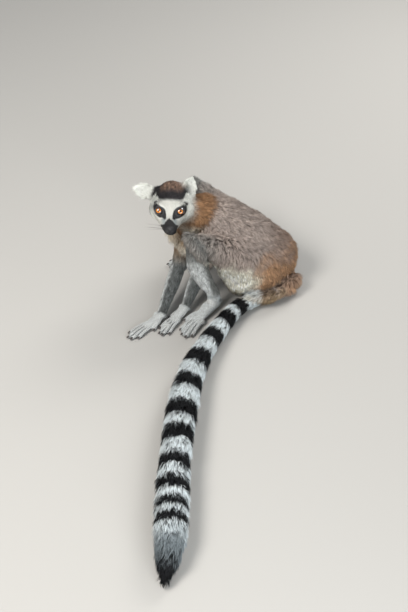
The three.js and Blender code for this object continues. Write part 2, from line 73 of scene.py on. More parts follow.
TAIL_WAY = [
    (14, 34, 34), (22, 16, 22), (18, -8, 18), (0, -24, 17), (-24, -32, 17), (-48, -42, 17.5),
    (-72, -66, 18.5), (-90, -96, 19.5), (-108, -131, 20.5), (-127, -172, 21.5), (-143, -217, 22.5),
    (-153, -268, 24), (-160, -322, 25), (-165, -379, 26), (-168, -437, 27), (-169, -494, 27),
    (-171, -548, 26), (-176, -592, 22),
]
BONES = {  # each part's own axis, from its root to its end
    "neck": [(-170, 33, 162), (-120, 39, 142)],
    "trunk": [(-120, 39, 142), (14, 34, 34)],
    "thigh_left": [(-40, 6, 62), (-134, -50, 148)],
    "thigh_right": [(-36, 72, 60), (-132, 106, 142)],
    "shin_left": [(-134, -50, 148), (-107, -40, 33)],
    "shin_right": [(-132, 106, 142), (-101, 98, 33)],
    "foot_left": [(-107, -40, 20), (-163, -119, 4)],
    "foot_right": [(-101, 98, 20), (-186, 66, 4)],
    "upper_arm_left": [(-140, 6, 126), (-126, 6, 58)],
    "upper_arm_right": [(-154, 44, 128), (-166, 14, 55)],
    "forearm_left": [(-126, 6, 58), (-155, -51.5, 14)],
    "forearm_right": [(-166, 14, 55), (-196, -70.5, 14)],
    "hand_left": [(-155, -51.5, 12), (-195.5, -108, 4)],
    "hand_right": [(-196, -70.5, 12), (-248, -121, 4)],
}
LIE = {  # which way the hair lies; the limbs' and the tail's follow their own axis
    "neck": (0.55, 0.0, -0.84),
    "trunk": (0.50, 0.0, -0.87),
    "thigh_left": (0.05, -0.15, -0.98),
    "thigh_right": (0.05, 0.15, -0.98),
}
OVER_KNEE = {"left": (-0.78, -0.62, 0.0), "right": (-0.85, 0.52, 0.0)}  # forwards, over the knee's top

# The head's own frame: x to the animal's right, y out of the nose, z up, in millimetres of the source.
HEAD_CENTRE = at(-177.5, 21.5, 177)
HEAD_SCALE = 1.04
HEAD_Y = unit((-0.069, -0.995, 0.068))
HEAD_Z = unit(np.array((0, 0, 1.0)) - HEAD_Y * HEAD_Y[2])
HEAD_X = np.cross(HEAD_Y, HEAD_Z)
HEAD_AXES = np.array((HEAD_X, HEAD_Y, HEAD_Z))
EYE_RADIUS = 8.1
EYE_PLACE = {"left": (-16.4, 31, 4.3), "right": (16.4, 31, 4.3)}
EAR_ROOT = {"left": (-24.3, 1, 8.3), "right": (23, -9, 9)}
EAR_AXIS = {"left": (-0.16, -0.6, 0.76), "right": (0.97, -0.1, 0.2)}
EAR_HEIGHT = 36

# Each paw's own frame: x forwards, y to the outer side, z up, in millimetres.
FEET = {"foot_left": ((-107, -40), (-163, -119)), "foot_right": ((-101, 98), (-186, 66))}
HANDS = {"hand_left": ((-155, -51.5), (-195.5, -108)), "hand_right": ((-196, -70.5), (-248, -121))}
PAWS = {**FEET, **HANDS}
HEEL = 9  # how far a foot's frame starts behind the ankle
DIGITS = {  # each digit's base and tip, and its thickness from the middle out
    "foot": [
        ((60, -7), (88, -11), 4.9), ((62, -2), (96, -3), 4.7), ((62, 4), (98, 6), 4.7),
        ((58, 8), (90, 13), 4.5), ((38, -7), (66, -18), 5.4),
    ],
    "hand": [
        ((32, -6), (59, -9), 4.2), ((34, -2), (69, -3), 4.1), ((34, 3), (70, 4), 4.1),
        ((31, 6.5), (61, 11), 3.9), ((8, -5), (28, -12), 4.2),
    ],
}
DIGITS_REACH = 110  # no digit's tip lies further forwards than this


def bone(name):
    """A part's own axis: its start, its direction and its length, in metres."""
    start, end = (at(*place) for place in BONES[name])
    return start, unit(end - start), np.linalg.norm(end - start)


def paw_frame(name):
    """A paw's origin in metres and its three axes."""
    start, end = (np.array((*place, 0.0)) for place in PAWS[name])
    forward = unit(end - start)
    outer = 1 if name.endswith("left") else -1
    axes = np.array((forward, np.cross((0, 0, 1.0), forward) * outer, (0, 0, 1.0)))
    if name in FEET:
        start = start - forward * HEEL
    return at(*start), axes


def in_paw(points, name):
    """Points of the model in a paw's own frame; from_paw leads back."""
    origin, axes = paw_frame(name)
    return (points - origin) * 1000 @ axes.T


def from_paw(points, name):
    origin, axes = paw_frame(name)
    return np.asarray(points, float) @ axes / 1000 + origin


def round_digits(q, start, half_width=26, height=16):
    """Which points of a paw's frame lie round its digits, forwards of start."""
    ahead = (q[:, 0] > start) & (q[:, 0] < DIGITS_REACH)
    return ahead & (np.abs(q[:, 1]) < half_width) & (q[:, 2] < height)


def in_head(points):
    """Points of the model in the head's own frame; from_head leads back."""
    return (points - HEAD_CENTRE) * 1000 / HEAD_SCALE @ HEAD_AXES.T


def from_head(points):
    return np.asarray(points, float) @ HEAD_AXES * HEAD_SCALE / 1000 + HEAD_CENTRE


def ear_reach(q, side):
    """How far up an ear head points lie, 0 at its root and 1 at its tip."""
    return (q - np.array(EAR_ROOT[side])) @ unit(EAR_AXIS[side]) / EAR_HEIGHT


def head_direction(vector):
    """A direction in the head's frame as the model's own."""
    return unit(np.asarray(vector, float) @ HEAD_AXES)


def smooth_way(stations, count):
    """A smooth line of count points through the stations, and the length up to each."""
    way = np.array([at(*s) for s in stations])
    t = np.linspace(0, len(way) - 1, count)
    i = np.clip(t.astype(int), 0, len(way) - 2)
    f = (t - i)[:, None]
    a, b, c, d = (way[np.clip(i + k, 0, len(way) - 1)] for k in (-1, 0, 1, 2))
    square, cube = 2 * a - 5 * b + 4 * c - d, 3 * b - a - 3 * c + d
    line = 0.5 * (2 * b + (c - a) * f + square * f**2 + cube * f**3)
    steps = np.linalg.norm(np.diff(line, axis=0), axis=1)
    return line, np.concatenate(([0], np.cumsum(steps)))


def tree_of(points):
    """The points in a tree that nearest() can look through."""
    tree = KDTree(len(points))
    for i, p in enumerate(points):
        tree.insert(p, i)
    tree.balance()
    return tree


def nearest(tree, points):
    """For each point the index of the nearest one in the tree."""
    return np.array([tree.find(p)[1] for p in points], int)


TAIL_STATIONS = 900
tail_line, tail_length = smooth_way(TAIL_WAY, TAIL_STATIONS)
tail_tangent = unit(np.gradient(tail_line, axis=0))
tail_tree = tree_of(tail_line)


def along_tail(points):
    """For each point the index of the nearest place on the tail's axis."""
    return nearest(tail_tree, points)


# ---- meshes as arrays ----------------------------------------------------------------------------------
def read_mesh(mesh):
    """The points, the triangles and the edges of a mesh."""
    points = np.empty(len(mesh.vertices) * 3, np.float32)
    mesh.vertices.foreach_get("co", points)
    mesh.calc_loop_triangles()
    triangles = np.empty(len(mesh.loop_triangles) * 3, np.int32)
    mesh.loop_triangles.foreach_get("vertices", triangles)
    edges = np.empty(len(mesh.edges) * 2, np.int32)
    mesh.edges.foreach_get("vertices", edges)
    return points.reshape(-1, 3).astype(float), triangles.reshape(-1, 3), edges.reshape(-1, 2)


def write_points(mesh, points):
    mesh.vertices.foreach_set("co", points.astype(np.float32).ravel())
    mesh.update()


def gather(values, index, count):
    """Sums rows of values into the places that index names."""
    values = values.reshape(len(values), -1)
    return np.stack([np.bincount(index, values[:, k], count) for k in range(values.shape[1])], axis=1)


def surface_normals(points, triangles):
    a, b, c = (points[triangles[:, k]] for k in range(3))
    face = np.cross(b - a, c - a)
    return unit(sum(gather(face, triangles[:, k], len(points)) for k in range(3)))


def relaxed(values, edges, times, share=0.5):
    """Values evened out over the surface; share may differ from point to point."""
    shape = values.shape
    values = values.reshape(len(values), -1).astype(float)
    ends = np.concatenate((edges[:, 0], edges[:, 1]))
    others = np.concatenate((edges[:, 1], edges[:, 0]))
    valence = np.maximum(np.bincount(ends, minlength=len(values)), 1)[:, None]
    share = np.broadcast_to(np.asarray(share, float).reshape(-1, 1), (len(values), 1))
    for _ in range(times):
        mean = gather(values[others], ends, len(values)) / valence
        values += share * (mean - values)
    return values.reshape(shape)


def piece_of(name, mesh):
    """A piece with this mesh, in the scene."""
    piece = bpy.data.objects.new(name, mesh)
    bpy.context.scene.collection.objects.link(piece)
    return piece


def new_piece(name, bm, smooth=True):
    """A piece made from a bmesh, which is used up."""
    mesh = bpy.data.meshes.new(name)
    bm.to_mesh(mesh)
    bm.free()
    if smooth:
        mesh.shade_smooth()
    return piece_of(name, mesh)


def settled(draft):
    """The mesh that a draft's modifiers give; the draft itself goes."""
    evaluated = draft.evaluated_get(bpy.context.evaluated_depsgraph_get())
    mesh, rough = bpy.data.meshes.new_from_object(evaluated), draft.data
    bpy.data.objects.remove(draft)
    bpy.data.meshes.remove(rough)
    return mesh


RIPPLE_WAVES = 7
RIPPLE_TURN = 6.3  # about one whole turn of a wave
RIPPLE_HEIGHT = 3.2  # how high that many waves rise together


def ripple(points, size, seed):
    """A slow random swell over the surface, between about -1 and 1."""
    dice = np.random.default_rng(seed)
    total = np.zeros(len(points))
    for _ in range(RIPPLE_WAVES):
        wave = dice.normal(size=3) / size
        total += np.sin(points @ wave * RIPPLE_TURN + dice.uniform(0, RIPPLE_TURN))
    return total / RIPPLE_HEIGHT


# ---- the skin ------------------------------------------------------------------------------------------
SWELLING = 0.9 / 1000  # closes the thin gaps between the solids
WELD = 1e-6  # points closer than this are one
BODY_CELL = 2.4 / 1000  # the body's and the tail's draft
LIMB_CELL = 1.35 / 1000
SKIN_CELL = 1.35 / 1000
SKIN_TRIANGLES = 118000  # before the face and the digits are refined
COAT_DEPTH = {  # how far the skin lies below the outline, in millimetres
    "trunk": 12.0, "neck": 9.0, "thigh": 9.5, "shin": 3.6, "foot": 1.3, "upper_arm": 5.0,
    "forearm": 3.2, "hand": 1.2, "ear": 1.6, "tail": 8.0, "head": 3.0,
}
EVENNESS = {  # how strongly each part is evened out, to take the solids' facets away
    "trunk": 1.0, "neck": 0.8, "thigh": 1.0, "shin": 0.35, "foot": 0.12, "upper_arm": 0.35,
    "forearm": 0.25, "hand": 0.1, "ear": 0.1, "tail": 0.5, "head": 0.16,
}
TAIL_CORE = 0.44  # the tail's flesh and underwool, as a share of its outline's radius
TAIL_COAT_LEAST = 2  # millimetres
SINKING_STEPS = 8
DEEP_COAT = 0.008  # from this depth on the sinking skin is evened out in full
LIMBS = {
    "body": ["trunk", "neck", "head", "ear_left", "ear_right", "thigh_left", "thigh_right", *EYES],
    "tail": [f"tail_{n}" for n in range(1, 6)],
    **{f"arm_{s}": [f"upper_arm_{s}", f"forearm_{s}", f"hand_{s}"] for s in SIDES},
    **{f"leg_{s}": [f"shin_{s}", f"foot_{s}"] for s in SIDES},
}
LINKS = [  # flesh that carries one part on into the next: two ends and their radii
    ((-140, 6, 118), (-132, 28, 128), 9, 14),
    ((-155, 42, 120), (-138, 30, 128), 9, 14),
    ((-135, -48, 118), (-128, -44, 138), 13, 12),
    ((-131, 105, 116), (-124, 100, 132), 13, 12),
    ((19, -8, 18), (21, 14, 22), 9.5, 11),
    ((21, 14, 22), (-6, 33, 44), 11, 18),
]


def kind_of(name):
    """The kind of part a node is, without its side or number."""
    return next(k for k in COAT_DEPTH if name.startswith(k))


PART_KIND = [kind_of(name) for name in FLESH]


def swollen_nodes(names):
    """Copies of the nodes, merged and a little swollen, in one bmesh."""
    joined = bmesh.new()
    for name in names:
        bm = bmesh.new()
        bm.from_mesh(nodes[name].data)
        bmesh.ops.remove_doubles(bm, verts=bm.verts, dist=WELD)
        bm.normal_update()
        for v in bm.verts:
            v.co += v.normal * SWELLING
        copy = bpy.data.meshes.new("copy")
        bm.to_mesh(copy)
        bm.free()
        joined.from_mesh(copy)
        bpy.data.meshes.remove(copy)
    return joined


def voxelled(bm, cell):
    """The outer surface of what the bmesh holds, as an even mesh."""
    draft = new_piece("draft", bm)
    change = draft.modifiers.new("even", "REMESH")
    change.mode = "VOXEL"
    change.voxel_size = cell
    return without_crumbs(settled(draft))


def without_crumbs(mesh):
    """The mesh with only its largest shell."""
    points, _, edges = read_mesh(mesh)
    shell = np.arange(len(points))
    while True:
        low = np.minimum(shell[edges[:, 0]], shell[edges[:, 1]])
        before = shell.copy()
        np.minimum.at(shell, edges[:, 0], low)
        np.minimum.at(shell, edges[:, 1], low)
        shell = shell[shell]
        if (shell == before).all():
            break
    main = np.bincount(shell).argmax()
    bm = bmesh.new()
    bm.from_mesh(mesh)
    bmesh.ops.delete(bm, geom=[v for v in bm.verts if shell[v.index] != main], context="VERTS")
    bm.to_mesh(mesh)
    bm.free()
    return mesh


def outline_tree():
    """The solids' own faces, with the part that each face belongs to."""
    points, triangles, owner = [], [], []
    for name in FLESH:
        p, t, _ = read_mesh(nodes[name].data)
        triangles.append(t + sum(len(x) for x in points))
        points.append(p)
        owner.append(np.full(len(t), PART[name]))
    tree = BVHTree.FromPolygons(np.concatenate(points).tolist(), np.concatenate(triangles).tolist())
    return tree, np.concatenate(owner)


outline, outline_owner = outline_tree()


def part_weights(points, edges, rounds):
    """How far each point belongs to each part, evened out across their joints."""
    owner = outline_owner[[outline.find_nearest(p)[2] for p in points]]
    weights = np.zeros((len(points), len(FLESH)))
    weights[np.arange(len(points)), owner] = 1
    return relaxed(weights, edges, rounds)


def by_part(weights, table):
    """A measure at each point, from a table of it for each kind of part."""
    return weights @ np.array([table[kind] for kind in PART_KIND])


def tail_share(weights):
    """How far each point belongs to the tail."""
    return weights[:, [PART[name] for name in LIMBS["tail"]]].sum(axis=1)


def head_depth(q):
    """The coat's depth on the head: almost none round the eyes and muzzle, more on crown and cheeks."""
    x, y, _ = q.T
    back = 1 - smooth_step(y, -6, 30)
    return 0.7 + 2.6 * back + 1.6 * back * smooth_step(np.abs(x), 14, 28)


def sunk(points, triangles, edges, weights):
    """The points moved inwards by the coat's depth, and that depth, in a few small steps."""
    depth = by_part(weights, COAT_DEPTH)
    head = weights[:, PART["head"]]
    depth += head * (head_depth(in_head(points)) - COAT_DEPTH["head"])
    station = along_tail(points)
    off_axis = points - tail_line[station]
    radius = np.linalg.norm(off_axis, axis=1) * 1000
    core = radius * (TAIL_CORE + 0.2 * (1 - smooth_step(tail_length[station], 0.0, 0.12)))
    depth += tail_share(weights) * (np.maximum(radius - core, TAIL_COAT_LEAST) - COAT_DEPTH["tail"])
    depth = depth / 1000 + SWELLING
    for _ in range(SINKING_STEPS):
        points = points - surface_normals(points, triangles) * (depth / SINKING_STEPS)[:, None]
        points = relaxed(points, edges, 1, 0.35 * np.clip(depth / DEEP_COAT, 0, 1))
    return points, depth - SWELLING


def shape_limb(limb):
    """One limb's flesh: its mesh, and for each point its parts and the coat's depth over it."""
    cell = BODY_CELL if limb in ("body", "tail") else LIMB_CELL
    mesh = voxelled(swollen_nodes(LIMBS[limb]), cell)
    points, triangles, edges = read_mesh(mesh)
    weights = part_weights(points, edges, 6)
    points = relaxed(points, edges, 60, 0.5 * by_part(weights, EVENNESS))
    points, depth = sunk(points, triangles, edges, weights)
    write_points(mesh, points)
    return mesh, points, weights, depth


def make_skin():
    """The mesh of the whole skin, and what is known of the limbs' flesh that it was drawn from."""
    joined = bmesh.new()
    known = []
    for limb in LIMBS:
        mesh, points, weights, depth = shape_limb(limb)
        known.append((points, weights, depth))
        joined.from_mesh(mesh)
        bpy.data.meshes.remove(mesh)
    for start, end, thick, thin in LINKS:
        add_link(joined, at(*start), at(*end), thick / 1000, thin / 1000)
    mesh = thinned(voxelled(joined, SKIN_CELL))
    return mesh, [np.concatenate(k) for k in zip(*known)]


def thinned(mesh):
    """Fewer faces on the body and tail, and all of them on the head and paws."""
    points, triangles, _ = read_mesh(mesh)
    q = in_head(points)
    keep = (q[:, 1] > -2) & (np.linalg.norm(q, axis=1) < 78)
    for name in PAWS:
        keep |= round_digits(in_paw(points, name), -4, 28, 20)
    draft = piece_of("draft", mesh)
    group = draft.vertex_groups.new(name="plain")
    group.add(np.flatnonzero(~keep).tolist(), 1.0, "REPLACE")
    change = draft.modifiers.new("thin", "DECIMATE")
    change.vertex_group = "plain"
    change.ratio = min(1.0, SKIN_TRIANGLES / len(triangles))
    return settled(draft)


def add_link(bm, start, end, first, last):
    """Adds a rounded, tapering rod from start to end."""
    line = Vector(end - start)
    turn = line.to_track_quat("Z", "Y").to_matrix().to_4x4()
    place = Matrix.Translation(Vector((start + end) / 2)) @ turn
    bmesh.ops.create_cone(
        bm, cap_ends=True, segments=20, radius1=first, radius2=last, depth=line.length, matrix=place
    )
    for centre, radius in ((start, first), (end, last)):
        bmesh.ops.create_uvsphere(
            bm, u_segments=20, v_segments=12, radius=radius, matrix=Matrix.Translation(Vector(centre))
        )


def refine(mesh, chosen):
    """Halves the edges where chosen(points) is true, for finer modelling there."""
    points, _, _ = read_mesh(mesh)
    inside = chosen(points)
    bm = bmesh.new()
    bm.from_mesh(mesh)
    bm.verts.ensure_lookup_table()
    edges = [e for e in bm.edges if inside[e.verts[0].index] and inside[e.verts[1].index]]
    bmesh.ops.subdivide_edges(bm, edges=edges, cuts=1, use_grid_fill=True)
    bm.to_mesh(mesh)
    bm.free()


GAZE = {side: unit((-0.10 * sign, 0.80, 0.60)) for side, sign in SIDES.items()}
LID_DROP = 0.11  # how far the lids' opening sits below the gaze
LID_OPENING = (0.54, 0.35)  # the opening's half width and half height, as angles on the eyeball
LID_THICK = 1.1
LID_EDGE = 0.16  # the angle past the opening where the lid's own rim ends


def eye_offsets(q, side):
    """From an eye's centre to head points: the line, its length, its angle to the gaze and its turn."""
    out = q - np.array(EYE_PLACE[side])
    reach = np.linalg.norm(out, axis=1)
    gaze = unit(GAZE[side] - np.array((0, 0, LID_DROP)))
    across = unit(np.cross(gaze, (0, 0, 1)))
    rise = np.cross(across, gaze)
    direction = out / reach[:, None]
    angle = np.arccos(np.clip(direction @ gaze, -1, 1))
    turn = np.arctan2(direction @ rise, direction @ across)
    return out, reach, angle, turn


def shape_lids(q):
    """Opens the skin over each eyeball and raises a lid's rim round the opening."""
    for side in SIDES:
        out, reach, angle, turn = eye_offsets(q, side)
        wide, high = LID_OPENING
        opening = wide * high / np.hypot(high * np.cos(turn), wide * np.sin(turn))
        near = angle < 1.5
        behind = EYE_RADIUS - 1.4
        rim = EYE_RADIUS + 0.25 + LID_THICK * smooth_step(angle, opening - 0.02, opening + 0.12)
        rim -= 0.35 * smooth_step(angle, opening + 0.14, opening + 0.45)
        outside = angle > opening + LID_EDGE
        held = np.maximum(rim, np.where(outside, reach, 0))
        held = np.where(outside, np.minimum(held, reach + 0.6), held)
        target = np.where(angle < opening, behind, held)
        blend = 1 - smooth_step(angle, 1.0, 1.45)
        radius = np.where(near, reach + (target - reach) * blend, reach)
        crease = np.exp(-(((reach - EYE_RADIUS - 2) / 3.5) ** 2)) * smooth_step(angle, 0.75, 1.25)
        radius += 2.6 * crease * (1 - smooth_step(angle, 2.0, 2.5))
        q = np.array(EYE_PLACE[side]) + out * (radius / reach)[:, None]
    return q


def muzzle_swing(y):
    """How far the muzzle turns to the animal's left, growing towards the nose."""
    return 3.0 * smooth_step(y, 42, 60)


def shape_nose(q):
    """Presses in the nostrils, the groove of the nose and the line of the mouth."""
    x, y, z = q.T
    x = x * (1 - 0.13 * smooth_step(y, 40, 52))
    for sign in (1, -1):
        hole = np.exp(-(((x - 3.1 * sign) / 1.3) ** 2 + ((z + 10.4) / 1.1) ** 2))
        slit = np.exp(-(((x - 5.0 * sign) / 1.4) ** 2 + ((z + 9.2) / 0.8) ** 2))
        front = smooth_step(y, 60, 64)
        y = y - front * (2.0 * hole + 1.1 * slit)
    groove = np.exp(-((x / 0.7) ** 2)) * smooth_step(y, 60, 63) * smooth_step(-z, 10, 12)
    y = y - 0.8 * groove
    lip = -17.6 + 0.05 * (62 - y)
    line = np.exp(-(((z - lip) / 0.9) ** 2)) * smooth_step(y, 36, 46)
    inward = 1 - 0.10 * line
    return np.stack((x * inward - muzzle_swing(y), y - 0.5 * line * smooth_step(y, 58, 62), z), axis=1)


def digit_places(q, kind):
    """How far along their nearest digit a paw's points are, and how much nearer it is than the next."""
    reach, along = [], []
    for base, tip, _ in DIGITS[kind]:
        base, line = np.array(base, float), np.array(tip, float) - np.array(base, float)
        t = np.clip((q[:, :2] - base) @ line / (line @ line), 0, 1)
        reach.append(np.linalg.norm(q[:, :2] - base - t[:, None] * line, axis=1))
        along.append(t)
    reach, along = np.array(reach), np.array(along)
    order = np.argsort(reach, axis=0)
    pick = np.arange(len(q))
    lead = reach[order[1], pick] - reach[order[0], pick]
    return np.minimum(along[order[0], pick], along[order[1], pick]), lead


def groove_share(points):
    """1 in the clefts between the digits."""
    cleft = np.zeros(len(points))
    for name in PAWS:
        q = in_paw(points, name)
        near = round_digits(q, 5)
        along, lead = digit_places(q[near], kind_of(name))
        cleft[near] = (1 - smooth_step(lead, 0.5, 3.2)) * smooth_step(along, 0.02, 0.30)
    return cleft


CLEFT_DEPTH = 0.0052
CLEFT_LOWEST = 0.0012  # no cleft is pressed lower than this


def shape_paws(mesh):
    """Presses in the clefts between the digits."""
    points, _, _ = read_mesh(mesh)
    deep = groove_share(points) * CLEFT_DEPTH
    height = points[:, 2].copy()
    pressed = np.maximum(height - deep, np.minimum(height, CLEFT_LOWEST))
    points[:, 2] = np.where(deep > 0, pressed, height)
    write_points(mesh, points)


def near_digits(points):
    """Which points lie round the digits of any paw."""
    near = np.zeros(len(points), bool)
    for name in PAWS:
        near |= round_digits(in_paw(points, name), 44 if name in FEET else 6)
    return near


def shape_face(mesh):
    """Shapes the lids and the nose on the front of the head."""
    points, _, _ = read_mesh(mesh)
    q = in_head(points)
    face = (q[:, 1] > 5) & (np.linalg.norm(q - (0, 30, 0), axis=1) < 48)
    face &= points[:, 2] > HEAD_CENTRE[2] - 0.045
    shaped = shape_nose(shape_lids(q[face]))
    points[face] = from_head(shaped)
    write_points(mesh, points)


def near_eyes_or_nose(points):
    """Which points lie where the lids and the nose will be shaped."""
    q = in_head(points)
    near = np.linalg.norm(q - (0, 62, -11), axis=1) < 14
    for side in SIDES:
        near |= np.linalg.norm(q - np.array(EYE_PLACE[side]), axis=1) < 13.5
    return near & (q[:, 1] > 18)


skin_mesh, (flesh_points, flesh_weights, flesh_depth) = make_skin()
refine(skin_mesh, near_digits)
refine(skin_mesh, near_eyes_or_nose)
skin_points, skin_triangles, skin_edges = read_mesh(skin_mesh)
write_points(skin_mesh, relaxed(skin_points, skin_edges, 2, 0.4))
shape_face(skin_mesh)
shape_paws(skin_mesh)
skin_points, skin_triangles, skin_edges = read_mesh(skin_mesh)
skin_normals = surface_normals(skin_points, skin_triangles)
flesh_below = nearest(tree_of(flesh_points), skin_points)
skin_weights = relaxed(flesh_weights[flesh_below], skin_edges, 4)
skin_depth = relaxed(flesh_depth[flesh_below], skin_edges, 6)
print("skin triangles", len(skin_triangles))


# ---- the markings --------------------------------------------------------------------------------------
def tone(red, green, blue):
    """A colour as a painter's chart gives it, in linear light."""
    c = np.array((red, green, blue)) / 255
    return np.where(c > 0.04045, ((c + 0.055) / 1.055) ** 2.4, c / 12.92)


WHITE = tone(232, 234, 228)
TAIL_WHITE = tone(212, 219, 221)
CREAM = tone(253, 248, 230)
BLACK = tone(15, 16, 19)
CROWN = tone(46, 43, 46)
# painted highlight: lighter, warmer hair on the top of the crown, as if lit by sun
CROWN_PAINTED_HIGHLIGHT = tone(170, 136, 114)
# painted highlight: bluish light along the sides of the muzzle
MUZZLE_PAINTED_HIGHLIGHT = tone(150, 164, 170)
NAPE = tone(150, 114, 82)
BACK = tone(172, 158, 149)
RUMP = tone(150, 130, 117)
RUST = tone(182, 138, 96)
TAN = tone(166, 152, 120)
ARM = tone(164, 138, 108)
LIMB = tone(130, 131, 128)
# the forearm's own speckled grey, made darker than the legs' partly as painted shade
FOREARM = tone(100, 103, 102)
# painted rim light: a pale edge down the front of the shins and forearms
PAINTED_RIM_LIGHT = tone(226, 229, 228)
PAW = tone(214, 218, 218)
LEATHER = tone(17, 17, 20)
TAIL_GREY = tone(88, 98, 103)
RING_EDGES = [  # millimetres along the tail where its bands change, each dark band's start and end
    82, 108, 138, 162, 177, 205, 228, 258, 285, 321, 349, 379, 408, 440, 458, 488, 513, 537, 555, 577,
    592, 606, 616, 634,
]
RING_BLUR = 1.2  # half the width of a band's soft edge
TAIL_TIP = (666, 688)  # where the black tip starts and where it is full


def mixed(base, over, share):
    """The base colour with this share of the other over it."""
    share = np.clip(np.asarray(share, float), 0, 1)[:, None]
    return base * (1 - share) + over * share


def head_marks(q):
    """White face, black cap with a painted highlight on its top, black patches round the eyes, painted
    bluish highlights beside the muzzle and a black muzzle.
    """
    x, y, z = q.T
    x = x + muzzle_swing(y)
    ax = np.abs(x)
    tint = np.broadcast_to(WHITE, q.shape).copy()
    low_cheek = smooth_step(-z, 8, 26) * (1 - smooth_step(y, 38, 44))
    tint = mixed(tint, CREAM, 0.4 * low_cheek)
    edge = 21.6 - 0.0135 * x**2 - 0.9 * np.maximum(-2 - y, 0)
    edge -= 0.6 * np.maximum(x - 18, 0) * (1 - smooth_step(y, 8, 14))
    cap = smooth_step(z - edge, -0.9, 0.9)
    back = smooth_step(-y, 16, 26) * smooth_step(z, -16, -4)
    tint = mixed(tint, CROWN, np.maximum(cap, back))
    # painted highlight: the top of the crown lighter and warmer, as if sunlit
    crown_highlight = cap * smooth_step(z + 0.2 * ax, 23, 30) * smooth_step(18 - y, 0, 16)
    tint = mixed(tint, CROWN_PAINTED_HIGHLIGHT, 0.8 * crown_highlight * (0.75 + 0.45 * ripple(q, 9.0, 51)))
    patch = np.zeros(len(q))
    for sign in (1, -1):
        sx = x * sign
        round_eye = np.hypot((sx - 16.0) / 10.6, (z - 6.2 - 0.16 * (sx - 16)) / 8.5)
        inner = np.hypot((sx - 8.2 - 0.25 * (z - 1)) / 3.8, (z - 3.5) / 6.0)
        reach = np.minimum(round_eye, inner) + 0.03 * ripple(q, 6.0, 31)
        patch = np.maximum(patch, 1 - smooth_step(reach, 0.91, 1.08))
    patch *= smooth_step(y - 1.0 * np.maximum(z - 7, 0), 10, 15) * (1 - smooth_step(y, 44, 47))
    # painted highlight: a bluish streak down each side of the muzzle
    muzzle_highlight = np.exp(-(((ax - 8.5) / 4.2) ** 2)) * smooth_step(y, 39, 43) * smooth_step(z, -15, -8)
    tint = mixed(tint, MUZZLE_PAINTED_HIGHLIGHT, 0.75 * muzzle_highlight)
    tint = mixed(tint, BLACK, patch)
    top = 45.0 + 0.75 * np.minimum(ax, 9) * (1 - smooth_step(-z, 6, 13))
    behind_nose = y - top - 0.28 * np.maximum(-z - 12, 0) + 0.4 * ripple(q, 5.0, 33)
    muzzle = smooth_step(behind_nose, -1.0, 1.0)
    muzzle *= 1 - smooth_step(-z, 19.5, 22.5) * (1 - smooth_step(y, 54, 58))
    return mixed(tint, LEATHER, muzzle)


def ear_marks(q, side):
    """White, with the crown's dark hair reaching over the root of the ear that stands out sideways."""
    root = (1 - smooth_step(ear_reach(q, side), 0.10, 0.24)) * smooth_step(q[:, 2], 3, 8)
    return mixed(np.broadcast_to(WHITE, q.shape), CROWN, root * (side == "right"))


def ring_share(length):
    """1 in the tail's dark bands and 0 in its pale ones, by millimetres along it."""
    dark = np.zeros(len(length))
    for start, end in zip(RING_EDGES[0::2], RING_EDGES[1::2]):
        begun = smooth_step(length, start - RING_BLUR, start + RING_BLUR)
        dark += begun * (1 - smooth_step(length, end - RING_BLUR, end + RING_BLUR))
    return np.maximum(dark, smooth_step(length, *TAIL_TIP))


def tail_marks(length):
    """The bands, with the rump's colour on the root and grey before the tip."""
    dark = ring_share(length)
    tint = mixed(np.broadcast_to(TAIL_WHITE, (len(length), 3)), BLACK, dark)
    past_root = 0.5 * smooth_step(length, 74, 86) + 0.5 * smooth_step(length, 104, 112)
    tint = mixed(tint, RUMP, 1 - past_root)
    grey = smooth_step(length, 636, 662) * (1 - smooth_step(length, 672, 690))
    return mixed(tint, TAIL_GREY, 0.85 * grey)


def rust_blur(p):
    """How far the edge of the rump's rust wanders, in millimetres."""
    return 9 * ripple(p, 0.045, 43)


def trunk_marks(p):
    """Grey-brown back, rust over the rump and cream along the belly."""
    x, _, z = (p * 1000 - SOURCE_ORIGIN).T
    tint = np.broadcast_to(BACK, p.shape).copy()
    tint = mixed(tint, RUMP, smooth_step(x, -40, 10) * smooth_step(z, 30, 60))
    low = 1 - smooth_step(z - 0.10 * (x + 60), 40, 62)
    blur = rust_blur(p)
    rust = smooth_step(x + blur, -60, -20) * (1 - smooth_step(z + blur, 54, 92))
    tint = mixed(tint, RUST, 0.7 * rust)
    tint = mixed(tint, CREAM, low * (1 - smooth_step(x, -34, 6)))
    chest = (1 - smooth_step(x, -152, -128)) * (1 - smooth_step(z, 110, 140))
    return mixed(tint, CREAM, 0.6 * chest)


def neck_marks(p):
    """Brown nape and a cream throat."""
    q = in_head(p)
    tint = np.broadcast_to(NAPE, p.shape).copy()
    return mixed(tint, CREAM, smooth_step(q[:, 1], 4, 20) * (1 - smooth_step(q[:, 2], -34, -24)))


